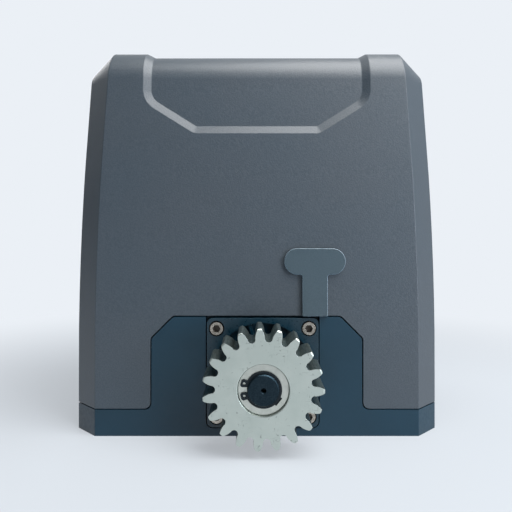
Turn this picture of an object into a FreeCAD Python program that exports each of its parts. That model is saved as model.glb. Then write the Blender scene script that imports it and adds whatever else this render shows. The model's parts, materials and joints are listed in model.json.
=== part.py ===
"""Sliding gate motor: a die-cast base with a worm gearbox and an upright motor under a moulded cover.

Millimetres. X runs to the right, Y away from the pinion side, Z up.
The origin is the middle of the base's flat underside.
"""
import FreeCAD, Part
import math
import os

V = FreeCAD.Vector
X_AXIS, Y_AXIS, Z_AXIS = V(1, 0, 0), V(0, 1, 0), V(0, 0, 1)
os.makedirs("parts", exist_ok=True)

# ---- housing: driving dimensions ----------------------------------------------------------------
BASE_WIDTH = 282.0          # over the side faces
BASE_DEPTH = 200.0          # front face to rear face
TOTAL_HEIGHT = 299.4
CORNER_BEVEL = 18.0         # leg of the 45 degree bevel on each upright corner
EDGE_ROUND = 1.6            # small radius along the upright edges
RIM_HEIGHT = 20.0           # top of the base casting's rim
FLOOR = 6.0                 # thickness of the base's floor
BASE_WALL = 6.5             # thickness of the base's rim
SEAM = 0.6                  # open line between base and cover
COVER_WALL = 3.0
RIB_REACH = 16.0            # how far the cover's inner ribs stand in from the front face
BEND_HEIGHT = 138.6         # where a wall's upright foot and its leaning top would meet
WALL_SLOPE = 0.0577         # lean of each wall's flat upper part, mm per mm
WALL_CURVE = 3000.0         # radius that joins the two
TOP_ROUND = 27.0            # radius of the front and rear top edges

# ---- recessed panel that runs over the cover ----------------------------------------------------
PANEL_HALF = 87.9           # half width at the outer edge of its sloped wall
PANEL_FOOT_HALF = 48.5      # half width of its straight lower edge
PANEL_FOOT_HEIGHT = 230.8
PANEL_TURN_HEIGHT = 255.5   # where the slanted edge meets the upright edge
PANEL_DEPTH = 3.0
PANEL_SLOPE = 2.0           # width of the sloped wall per mm of depth
PANEL_TURN_ROUND = 18.0
PANEL_FOOT_ROUND = 8.0

# ---- raised shields of the base, front and rear -------------------------------------------------
SHIELD_HALF = 80.0
SHIELD_HEIGHT = 90.4
SHIELD_CUT = 16.5           # 45 degree cut of the upper corners
SHIELD_ROUND = 5.0
SHIELD_THICK = 12.0
SHIELD_GAP = 0.8            # open line between shield and cover

# ---- output axis, pinion and worm gear ----------------------------------------------------------
AXIS_X = 4.5
AXIS_Z = 47.6
PINION_MODULE = 4.0
PINION_TEETH = 19
PINION_WIDTH = 30.0
PINION_STANDOFF = 15.0      # back of the pinion to the front of the base
PINION_TURN = 3.72          # degrees that a tooth stands left of straight up at rest
COUNTERBORE_R = 17.7
COUNTERBORE_DEPTH = 4.0
TIP_CHAMFER = 0.9
SHAFT_NOSE_R = 11.0
SHAFT_R = 12.5
SHAFT_COLLAR_R = 15.0
KEY_WIDTH = 6.0
KEY_HEIGHT = 6.0
KEY_SEAT = 3.5              # depth of the key's seat in the shaft
KEY_ANGLE = -38.7           # degrees from +X, seen from the front
WORM_MODULE = 2.5
WORM_PITCH_R = 10.0
WHEEL_TEETH = 28
WHEEL_WIDTH = 20.0
GEAR_SETBACK = 80.0         # front face of the base to the middle plane of the worm wheel
HUB_R = 20.0
HUB_WIDTH = 26.0
WORM_BACKLASH = 0.5
PRESSURE_ANGLE = 20.0

# ---- bearings: bore radius, outer radius, width -------------------------------------------------
OUTPUT_BEARING = (SHAFT_R, 23.5, 12.0)
WORM_LOW_BEARING = (6.0, 16.0, 10.0)
WORM_HIGH_BEARING = (8.5, 20.0, 12.0)
MOTOR_TOP_BEARING = (7.5, 17.5, 11.0)
RACE_GAP = 0.3              # open line between a bearing's inner ring and its shield
INNER_RING_SHARE = 0.32     # share of a bearing's section that its inner ring takes

# ---- gearbox flange -----------------------------------------------------------------------------
FLANGE_WIDTH = 84.6
FLANGE_HEIGHT = 82.8
FLANGE_RISE = 0.6           # middle of the flange above the output axis
FLANGE_THICK = 9.0
FLANGE_PROUD = 0.6
FLANGE_GAP = 0.9            # open line around the flange
FLANGE_ROUND = 4.5
GASKET = 0.5
DISH_R = 38.3
DISH_DEPTH = 5.5
DISH_RIBS = 12
RIB_WIDTH = 2.2
SPIGOT_R = 30.0
FLANGE_BOLTS_X = 70.0
FLANGE_BOLTS_Z = 67.0
M6_R, M6_HEAD_R, M6_HEAD = 3.0, 5.0, 6.0

# ---- gearbox chamber and motor ------------------------------------------------------------------
CHAMBER_WALL = 6.0
CHAMBER_LEFT = 18.0         # from the worm axis to the chamber's left wall
CHAMBER_RIGHT = 42.0        # from the output axis to the chamber's right wall
CHAMBER_BEHIND = 22.0       # from the wheel's middle plane to the rear wall's inner face
CHAMBER_TOP = 96.0
REAR_BOSS = 14.0            # depth of the rear bearing boss
LID_THICK = 8.0
MOTOR_R = 54.0
MOTOR_WALL = 3.0
MOTOR_LENGTH = 92.0
MOTOR_FINS = 24
FIN_REACH = 4.0
FIN_WIDTH = 2.4
STATOR_LENGTH = 64.0
AIR_GAP = 0.6
ROTOR_R = 29.0
END_CAP = 12.0
WINDING_HEIGHT = 12.0
END_CAP_BOLT_R = 46.0       # radius of the circle that the four motor bolts stand on
CAP_BOLT_R, CAP_BOLT_HEAD_R = 2.3, 4.2
MOTOR_SHAFT_R = 8.2         # the motor shaft inside the rotor

# ---- anchor slots and cable entry ---------------------------------------------------------------
ANCHOR_INSET_X, ANCHOR_INSET_Y = 23.0, 20.0     # side and end faces of the base to a slot's middle
ANCHOR_WIDTH, ANCHOR_LENGTH = 11.0, 21.0
PAD_RISE = 3.0
PAD_HALF_X, PAD_HALF_Y = 17.0, 11.0
CABLE_FROM_SIDE, CABLE_FROM_REAR = 43.0, 70.0
GROMMET_R = 16.0
CABLE_R = 10.0
GROMMET_LIP = 2.5
FLOOR_RIB = 4.0             # thickness of the ribs from the chamber to the rim

# ---- control side -------------------------------------------------------------------------------
BOARD_FROM_CHAMBER = 8.5    # gearbox chamber to the board's left edge
BOARD_FROM_SIDE = 12.0      # side face of the base to the board's right edge
BOARD_FROM_FRONT, BOARD_FROM_REAR = 38.0, 32.0
BOARD_Z = 122.0             # underside of the circuit board
BOARD_THICK = 1.6
BOARD_HOLE_INSET = 6.0
BOARD_SCREW_R = 1.4
TRAY_UNDER_BOARD = 10.0     # underside of the board to the underside of the tray
TRAY_THICK = 3.0
TRAY_MARGIN = 2.5
TRAY_RIM = 2.0
LEG = 10.0
TERMINAL_POLES = 8
TERMINAL_PITCH, TERMINAL_DEPTH, TERMINAL_HEIGHT = 5.0, 10.0, 13.0
TERMINAL_MARGIN = 2.0       # board edge to a terminal block
RELAY_LENGTH, RELAY_WIDTH, RELAY_HEIGHT, RELAY_PITCH = 19.0, 15.0, 15.5, 22.0
FUSE_LENGTH, FUSE_R = 20.0, 2.6
FILTER_R, FILTER_HEIGHT = 8.0, 25.0
RECEIVER_LENGTH, RECEIVER_WIDTH, RECEIVER_HEIGHT = 30.0, 12.0, 9.0
BUTTON_BODY, BUTTON_BODY_HEIGHT, BUTTON_R, BUTTON_PITCH = 6.0, 3.5, 1.75, 14.0
TRANSFORMER_BEHIND = 74.0   # front face of the base to the transformer's middle
CORE_WIDTH, CORE_DEPTH, CORE_HEIGHT, CORE_LIMB = 54.0, 18.0, 45.0, 9.0
COIL_WIDTH, COIL_DEPTH = 35.0, 40.0
CAPACITOR_FROM_SIDE, CAPACITOR_FROM_REAR = 53.0, 48.0
CAPACITOR_R, CAPACITOR_LENGTH = 20.0, 84.0
CLIP_BAND, CLIP_WIDTH, CLIP_RISE = 1.5, 12.0, 30.0

# ---- slot plug in the cover and the sensor behind it --------------------------------------------
PLUG_X = 44.0
PLUG_HEAD_WIDTH = 46.4
PLUG_HEAD_HEIGHT = 19.8
PLUG_HEIGHT = 51.3          # foot of the stem to the top of the head
PLUG_STEM = 19.2
PLUG_PROUD = 3.0
PLUG_FIT = 0.25             # clearance of the plug's tongue in the cover's slot
SLOT_WIDTH = 15.0

# ---- manual release at the rear -----------------------------------------------------------------
CAM_R = 5.5                 # smallest radius of the lever's cam
CAM_TRAVEL = 5.0            # how far a quarter turn pushes the rod
RELEASE_ROD_R = 5.0
RELEASE_PIN_R = 2.5
LEVER_LENGTH = 60.0
LEVER_HEIGHT = 16.0
LEVER_FRONT = 5.0           # from the pivot's axis to the lever's inner face
LEVER_BACK = 3.5            # from the pivot's axis to the lever's outer face
LEVER_POCKET = 11.0         # depth of the pocket in the rear shield
LOCK_R = 6.0
LOCK_AT = 44.0              # from the pivot to the lock
TONGUE_REACH, TONGUE_HALF = 12.0, 3.0           # the lock's tongue, from the lock's axis
RUNNING = 0.05              # radial clearance of running fits
CLEAR = 0.3                 # clearance between bodies that only pass each other

# ---- cover screws -------------------------------------------------------------------------------
SIDE_SCREW_Y = 42.0
SIDE_SCREW_Z = 29.0
SIDE_SCREW_R, SIDE_HEAD_R, SIDE_HEAD = 2.5, 4.6, 1.4
LIP_HEIGHT = 14.0           # height of the base's inner lip over its rim
LIP_WALL = 2.6
LIP_CLEARANCE = 0.5

# ---- worked-out places --------------------------------------------------------------------------------
FRONT = -BASE_DEPTH / 2
REAR = BASE_DEPTH / 2
PINION_BACK = FRONT - PINION_STANDOFF
PINION_FACE = PINION_BACK - PINION_WIDTH
FLANGE_FRONT = FRONT - FLANGE_PROUD
FLANGE_BACK = FLANGE_FRONT + FLANGE_THICK
LEDGE_FRONT = FLANGE_BACK + GASKET
SHIELD_BACK = FRONT + SHIELD_THICK
FLANGE_Z = AXIS_Z + FLANGE_RISE
ANCHOR_X, ANCHOR_Y = BASE_WIDTH - 2 * ANCHOR_INSET_X, BASE_DEPTH - 2 * ANCHOR_INSET_Y
WHEEL_Y = FRONT + GEAR_SETBACK
CHAMBER_REAR = WHEEL_Y + CHAMBER_BEHIND
CIRCLIP_THICK = 1.2
WASHER_THICK = 1.5
CIRCLIP_FACE = PINION_FACE + COUNTERBORE_DEPTH - WASHER_THICK - CIRCLIP_THICK
SHAFT_FRONT = PINION_FACE - 1.0
FRONT_BEARING_Y = FLANGE_FRONT + 7.6
REAR_BEARING_Y = CHAMBER_REAR
SHAFT_REAR = REAR_BEARING_Y + OUTPUT_BEARING[2]
WORM_PITCH = math.pi * WORM_MODULE
WHEEL_PITCH_R = WORM_MODULE * WHEEL_TEETH / 2
WORM_X = AXIS_X - WHEEL_PITCH_R - WORM_PITCH_R
WORM_Y = WHEEL_Y
WORM_LEAD = math.atan(WORM_MODULE / (2 * WORM_PITCH_R))
THREAD_TURNS = 3            # turns of thread each side of the output axis
CHAMBER_X0 = WORM_X - CHAMBER_LEFT
CHAMBER_X1 = AXIS_X + CHAMBER_RIGHT
LOW_BEARING_Z = FLOOR + 2.0
HIGH_BEARING_Z = CHAMBER_TOP + GASKET + 1.0
LID_TOP = CHAMBER_TOP + GASKET + LID_THICK
HIGH_BOSS_TOP = HIGH_BEARING_Z + WORM_HIGH_BEARING[2] + 2.0
MOTOR_TOP = LID_TOP + MOTOR_LENGTH
STATOR_Z = LID_TOP + (MOTOR_LENGTH - STATOR_LENGTH) / 2
TOP_BEARING_Z = MOTOR_TOP - 1.0
BOARD_X0 = CHAMBER_X1 + CHAMBER_WALL + BOARD_FROM_CHAMBER
BOARD_X1 = BASE_WIDTH / 2 - BOARD_FROM_SIDE
BOARD_Y0, BOARD_Y1 = FRONT + BOARD_FROM_FRONT, REAR - BOARD_FROM_REAR
TRAY_Z = BOARD_Z - TRAY_UNDER_BOARD
TRANSFORMER_X, TRANSFORMER_Y = (BOARD_X0 + BOARD_X1) / 2 - 1, FRONT + TRANSFORMER_BEHIND
CABLE_X, CABLE_Y = BASE_WIDTH / 2 - CABLE_FROM_SIDE, REAR - CABLE_FROM_REAR
CAPACITOR_X, CAPACITOR_Y = CAPACITOR_FROM_SIDE - BASE_WIDTH / 2, REAR - CAPACITOR_FROM_REAR
PIVOT_Y = REAR
POCKET_FLOOR = REAR - LEVER_POCKET
ROD_TIP = PIVOT_Y - CAM_R - CLEAR - 0.4
PLUG_FOOT = SHIELD_HEIGHT + SHIELD_GAP
BOARD_TOP = BOARD_Z + BOARD_THICK


# ---- small helpers ------------------------------------------------------------------------------
def save(node, *solids):
    """Write one sub-part; several solids make a group."""
    shape = solids[0] if len(solids) == 1 else Part.makeCompound(list(solids))
    shape.exportStep(f"parts/{node}.step")


def box(x0, x1, y0, y1, z0, z1):
    return Part.makeBox(x1 - x0, y1 - y0, z1 - z0, V(x0, y0, z0))


def column(x, y, z0, z1, radius):
    return Part.makeCylinder(radius, z1 - z0, V(x, y, z0), Z_AXIS)


def bar_x(y, z, x0, x1, radius):
    return Part.makeCylinder(radius, x1 - x0, V(x0, y, z), X_AXIS)


def bar_y(x, z, y0, y1, radius):
    return Part.makeCylinder(radius, y1 - y0, V(x, y0, z), Y_AXIS)


def on_shaft(y0, y1, radius, bore=0.0):
    """A cylinder or tube on the output axis."""
    solid = bar_y(AXIS_X, AXIS_Z, y0, y1, radius)
    return solid.cut(bar_y(AXIS_X, AXIS_Z, y0 - 1, y1 + 1, bore)) if bore else solid


def on_worm(z0, z1, radius, bore=0.0):
    """A cylinder or tube on the worm and motor axis."""
    solid = column(WORM_X, WORM_Y, z0, z1, radius)
    return solid.cut(column(WORM_X, WORM_Y, z0 - 1, z1 + 1, bore)) if bore else solid


def outline(points, radii, place):
    """A closed wire through 2-D points, each corner rounded to its own radius."""
    corners = []
    for i, point in enumerate(points):
        here = V(*point, 0)
        back = (V(*points[i - 1], 0) - here).normalize()
        ahead = (V(*points[(i + 1) % len(points)], 0) - here).normalize()
        if not radii[i]:
            corners.append((here, here, here))
            continue
        half = back.getAngle(ahead) / 2
        reach = radii[i] / math.tan(half)
        centre = here + (back + ahead).normalize() * (radii[i] / math.sin(half))
        middle = centre + (here - centre).normalize() * radii[i]
        corners.append((here + back * reach, middle, here + ahead * reach))
    edges = []
    for i, corner in enumerate(corners):
        entry, middle, leave = [place(p.x, p.y) for p in corner]
        if radii[i]:
            edges.append(Part.Arc(entry, middle, leave).toShape())
        following = corners[(i + 1) % len(corners)][0]
        if (following - corner[2]).Length > 1e-6:
            edges.append(Part.LineSegment(leave, place(following.x, following.y)).toShape())
    return Part.Wire(edges)


def prism(wire, direction):
    return Part.Face(wire).extrude(direction)


def rounded_block(x0, x1, y0, y1, z0, z1, radius):
    """An upright block whose four upright edges are rounded."""
    points = [(x0, y0), (x1, y0), (x1, y1), (x0, y1)]
    return prism(outline(points, [radius] * 4, lambda x, y: V(x, y, z0)), V(0, 0, z1 - z0))


def fuse(first, *others):
    return first.multiFuse(list(others)).removeSplitter()


def cut(solid, *tools):
    return solid.cut(list(tools))


# ---- the housing's common form ------------------------------------------------------------------
WALL_TURN = math.atan(WALL_SLOPE)
CURVE_REACH = WALL_CURVE * math.tan(WALL_TURN / 2)     # from the bend to each end of the curve


def slant(z):
    """How far a cover wall without its curve has leaned in at a height."""
    return WALL_SLOPE * max(z - BEND_HEIGHT, 0)


def lean(z):
    """How far each cover wall has leaned in at a height."""
    if z > BEND_HEIGHT + CURVE_REACH * math.cos(WALL_TURN):
        return slant(z)
    rise = max(z - BEND_HEIGHT + CURVE_REACH, 0)
    return WALL_CURVE - math.sqrt(WALL_CURVE ** 2 - rise ** 2)


def plan_block(z0, z1, inset):
    """A straight-sided slab of the base's bevelled plan, drawn inset from the outside."""
    x, y = BASE_WIDTH / 2 - inset, BASE_DEPTH / 2 - inset
    bevel = CORNER_BEVEL - inset * (2 - math.sqrt(2))
    points = [(x, y - bevel), (x - bevel, y), (bevel - x, y), (-x, y - bevel),
              (-x, bevel - y), (bevel - x, -y), (x - bevel, -y), (x, bevel - y)]
    return prism(outline(points, [EDGE_ROUND] * 8, lambda u, v: V(u, v, z0)), V(0, 0, z1 - z0))


HAIR = 0.02                 # keeps one cutter's top face off another's


CAP_Z = TOTAL_HEIGHT - TOP_ROUND - 2     # the cover's walls below it are flat for a while


def wall_profile(half, inset, low, top, turn, place):
    """Two walls that lean in under a flat top; half is their half distance at the foot."""
    foot, head = half - inset, half - slant(top) - inset
    points = [(-foot, low), (-foot, BEND_HEIGHT), (-head, top), (head, top), (foot, BEND_HEIGHT), (foot, low)]
    return outline(points, [0, WALL_CURVE, turn, turn, WALL_CURVE, 0], place)


def side_profile(x, inset, low):
    """The cover's outline seen from the side, at one X."""
    top = TOTAL_HEIGHT - inset
    return wall_profile(BASE_DEPTH / 2, inset, low, top, TOP_ROUND - inset, lambda y, z: V(x, y, z))


def corner_profile(side, inset, low):
    """The outline across two opposite corner bevels, which lean in with the walls they join."""
    diagonal = math.sqrt(0.5)
    foot, head = [((BASE_WIDTH + BASE_DEPTH) / 2 - CORNER_BEVEL - 2 * slant(z)) * diagonal - inset
                  for z in (low, CAP_Z)]
    curve = CURVE_REACH / math.tan(math.atan(2 * WALL_SLOPE * diagonal) / 2)
    points = [(-foot, low), (-foot, BEND_HEIGHT), (-head, CAP_Z),
              (head, CAP_Z), (foot, BEND_HEIGHT), (foot, low)]
    start = V(BASE_WIDTH, -side * BASE_WIDTH, 0)
    across = V(diagonal, side * diagonal, 0)
    return outline(points, [0, curve, 0, 0, curve, 0], lambda u, z: start + across * u + V(0, 0, z))


def cap_profile(side, x_inset, inset):
    """The top of the cover's outline seen from the side, on a plane that leans in with a side wall."""
    top = TOTAL_HEIGHT - inset
    foot, head = [BASE_DEPTH / 2 - slant(z) - inset for z in (CAP_Z, top)]
    points = [(-foot, CAP_Z), (-head, top), (head, top), (foot, CAP_Z)]
    turn = TOP_ROUND - inset
    return outline(points, [0, turn, turn, 0],
                   lambda y, z: V(side * (BASE_WIDTH / 2 - slant(z) - x_inset), y, z))


def cover_form(inset, low):
    """The solid that fills the cover, drawn inset from its outside, without the panel."""
    front = wall_profile(BASE_DEPTH / 2, inset, low, CAP_Z, 0, lambda y, z: V(-BASE_WIDTH, y, z))
    sides = wall_profile(BASE_WIDTH / 2, inset, low, CAP_Z, 0, lambda x, z: V(x, -BASE_DEPTH, z))
    form = prism(front, V(2 * BASE_WIDTH, 0, 0)).common(prism(sides, V(0, 2 * BASE_DEPTH, 0)))
    for side in (1, -1):
        run = V(-2 * BASE_WIDTH, side * 2 * BASE_WIDTH, 0)
        form = form.common(prism(corner_profile(side, inset, low), run))
    # the bevel of the upright corners carries on over the top
    leg = CORNER_BEVEL - inset * (2 - math.sqrt(2))
    cap = Part.makeLoft([cap_profile(-1, inset, inset + leg), cap_profile(-1, inset + leg, inset),
                         cap_profile(1, inset + leg, inset), cap_profile(1, inset, inset + leg)], True, True)
    return form.fuse(cap).removeSplitter()


def panel_outline(spread, depth):
    """The panel's lower outline on the leaning front, spread outwards and set in by a depth."""
    fall = math.atan2(PANEL_TURN_HEIGHT - PANEL_FOOT_HEIGHT, PANEL_HALF - PANEL_FOOT_HALF)
    half = PANEL_HALF + spread
    turn_z = PANEL_TURN_HEIGHT - spread * math.tan((math.pi / 2 - fall) / 2)
    foot_half = PANEL_FOOT_HALF + spread * math.tan(fall / 2)
    foot_z = PANEL_FOOT_HEIGHT - spread
    top_z = TOTAL_HEIGHT - TOP_ROUND - 4
    points = [(-half, top_z), (-half, turn_z), (-foot_half, foot_z),
              (foot_half, foot_z), (half, turn_z), (half, top_z)]
    turn, foot = PANEL_TURN_ROUND + spread, PANEL_FOOT_ROUND + spread
    return outline(points, [0, turn, foot, foot, turn, 0],
                   lambda x, z: V(x, depth - BASE_DEPTH / 2 + lean(z), z))


def panelled(form, inset):
    """The form less its recessed panel: cut in front, behind, and over the top."""
    stand_out = 2.0
    spread = stand_out * PANEL_SLOPE
    outer, inner = PANEL_HALF + spread, PANEL_HALF - PANEL_DEPTH * PANEL_SLOPE
    low, split = RIM_HEIGHT, TOTAL_HEIGHT - TOP_ROUND - 6
    front = Part.makeLoft([panel_outline(spread, inset - stand_out),
                           panel_outline(inner - PANEL_HALF, inset + PANEL_DEPTH)], True, True)
    proud, deep = inset - stand_out, inset + PANEL_DEPTH
    middle = prism(side_profile(-inner, deep, low), V(2 * inner, 0, 0))
    left = Part.makeLoft([side_profile(-outer, proud, low), side_profile(-inner, deep, low)], True, True)
    right = left.mirror(V(0, 0, 0), X_AXIS)
    over = box(-outer, outer, -BASE_DEPTH, BASE_DEPTH, split, TOTAL_HEIGHT + CORNER_BEVEL)
    over = over.cut([middle, left, right])
    return form.cut(front).cut(front.mirror(V(0, 0, 0), Y_AXIS)).cut(over)


def shield_outline(grow, foot, y):
    """The shield's outline, standing on a foot line, grown by a gap."""
    side, top = SHIELD_HALF + grow, SHIELD_HEIGHT + grow
    slant = SHIELD_CUT - grow * (math.sqrt(2) - 1) + grow
    wing = side + 3 * SHIELD_ROUND
    points = [(-wing, foot - SHIELD_ROUND), (-wing, foot), (-side, foot), (-side, top - slant),
              (-side + slant, top), (side - slant, top), (side, top - slant), (side, foot),
              (wing, foot), (wing, foot - SHIELD_ROUND)]
    turn = SHIELD_ROUND
    radii = [0, 0, turn, turn, turn, turn, turn, turn, 0, 0]
    return outline(points, radii, lambda x, z: V(x, y, z))


# ---- cover --------------------------------------------------------------------------------------
def plug_lean(z):
    """How far the flat plug has leaned in at a height, along the chord of the wall behind it."""
    top = PLUG_FOOT + PLUG_HEIGHT
    return lean(PLUG_FOOT) + (lean(top) - lean(PLUG_FOOT)) * (z - PLUG_FOOT) / PLUG_HEIGHT


def plug_outline(y, grow=0.0, foot=PLUG_FOOT):
    """The T: a round-ended head on a stem, leaning in with the wall it covers."""
    head = PLUG_HEAD_WIDTH / 2 + grow
    stem = PLUG_STEM / 2 + grow
    top = PLUG_FOOT + PLUG_HEIGHT + grow
    under = top - PLUG_HEAD_HEIGHT - 2 * grow
    end = (top - under) / 2 - 0.01
    points = [(-stem, foot), (stem, foot), (stem, under), (head, under), (head, top),
              (-head, top), (-head, under), (-stem, under)]
    radii = [0.8, 0.8, 2.0, end, end, end, end, 2.0]
    return outline(points, radii, lambda x, z: V(PLUG_X + x, y + plug_lean(z), z))


def side_screw_notch(side):
    """Bottom-open notch in a cover wall for one side screw: a narrow slot with a wide outer recess."""
    outside = BASE_WIDTH / 2
    floor_x = outside - COVER_WALL / 2 - 0.2
    tools = []
    for half, x0 in ((SIDE_SCREW_R + CLEAR, outside - 2 * COVER_WALL), (SIDE_HEAD_R + CLEAR, floor_x)):
        reach = (min(side * x0, side * (outside + 2)), max(side * x0, side * (outside + 2)))
        tools.append(box(*reach, SIDE_SCREW_Y - half, SIDE_SCREW_Y + half, 0, SIDE_SCREW_Z))
        tools.append(bar_x(SIDE_SCREW_Y, SIDE_SCREW_Z, *reach, half))
    return tools


def make_cover():
    low = RIM_HEIGHT + SEAM
    solid = panelled(cover_form(0, low), 0)
    hollow = panelled(cover_form(COVER_WALL, low - SEAM), COVER_WALL)
    shell = solid.cut(hollow)
    notch = prism(shield_outline(SHIELD_GAP, low, -BASE_DEPTH), V(0, 2 * BASE_DEPTH, 0))
    slot_top = PLUG_FOOT + PLUG_HEIGHT - PLUG_HEAD_HEIGHT / 2
    slot = box(PLUG_X - SLOT_WIDTH / 2, PLUG_X + SLOT_WIDTH / 2, -BASE_DEPTH, -BASE_DEPTH / 4,
               SHIELD_HEIGHT - 5, slot_top)
    shell = cut(shell, notch, slot, *side_screw_notch(-1), *side_screw_notch(1))
    # four ribs inside, which stiffen the long walls
    fill = cover_form(COVER_WALL / 2, low)
    rib_low, rib_high = low + LIP_HEIGHT + 6, PANEL_FOOT_HEIGHT + 20
    front_ribs = [box(x - 1, x + 1, -BASE_DEPTH, FRONT + RIB_REACH, rib_low, rib_high)
                  for x in (-SHIELD_HALF - 14, SHIELD_HALF + 14)]
    ribs = [rib.common(fill) for rib in front_ribs]
    ribs += [rib.mirror(V(0, 0, 0), Y_AXIS) for rib in ribs]
    save("cover_shell", fuse(shell, *ribs))

    wall_y = -BASE_DEPTH / 2 + lean(PLUG_FOOT)
    bulge = PLUG_HEIGHT ** 2 / (8 * WALL_CURVE)     # of the curved wall over the plug's flat back
    head = prism(plug_outline(-BASE_DEPTH / 2 - PLUG_PROUD), V(0, PLUG_PROUD - bulge - 0.05, 0))
    tongue_half = SLOT_WIDTH / 2 - PLUG_FIT
    tongue = box(PLUG_X - tongue_half, PLUG_X + tongue_half, wall_y - 0.5, wall_y + COVER_WALL + 1.5,
                 PLUG_FOOT, slot_top - PLUG_FIT)
    save("slot_plug", fuse(head, tongue))


# ---- base casting -------------------------------------------------------------------------------
def flange_outline(grow, y):
    x, z = FLANGE_WIDTH / 2 + grow, FLANGE_HEIGHT / 2 + grow
    points = [(-x, -z), (x, -z), (x, z), (-x, z)]
    return outline(points, [FLANGE_ROUND + grow] * 4, lambda u, v: V(AXIS_X + u, y, FLANGE_Z + v))


def flange_bolt_places():
    return [(AXIS_X + sx * FLANGE_BOLTS_X / 2, FLANGE_Z + sz * FLANGE_BOLTS_Z / 2)
            for sx in (-1, 1) for sz in (-1, 1)]


def lid_bolt_places():
    """Screws of the gearbox lid, in the chamber's walls where the motor leaves room."""
    edge = CHAMBER_WALL / 2
    middle = (SHIELD_BACK + CHAMBER_REAR) / 2
    right = [(CHAMBER_X1 + edge, y) for y in (SHIELD_BACK + 10, middle, CHAMBER_REAR - 4)]
    return right + [(CHAMBER_X0 - edge, SHIELD_BACK + 7)]


def anchor_slot(sx, sy, z0, z1):
    x, y = sx * ANCHOR_X / 2, sy * ANCHOR_Y / 2
    run = (ANCHOR_LENGTH - ANCHOR_WIDTH) / 2
    half = ANCHOR_WIDTH / 2
    return fuse(column(x - run, y, z0, z1, half), column(x + run, y, z0, z1, half),
                box(x - run, x + run, y - half, y + half, z0, z1))


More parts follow.
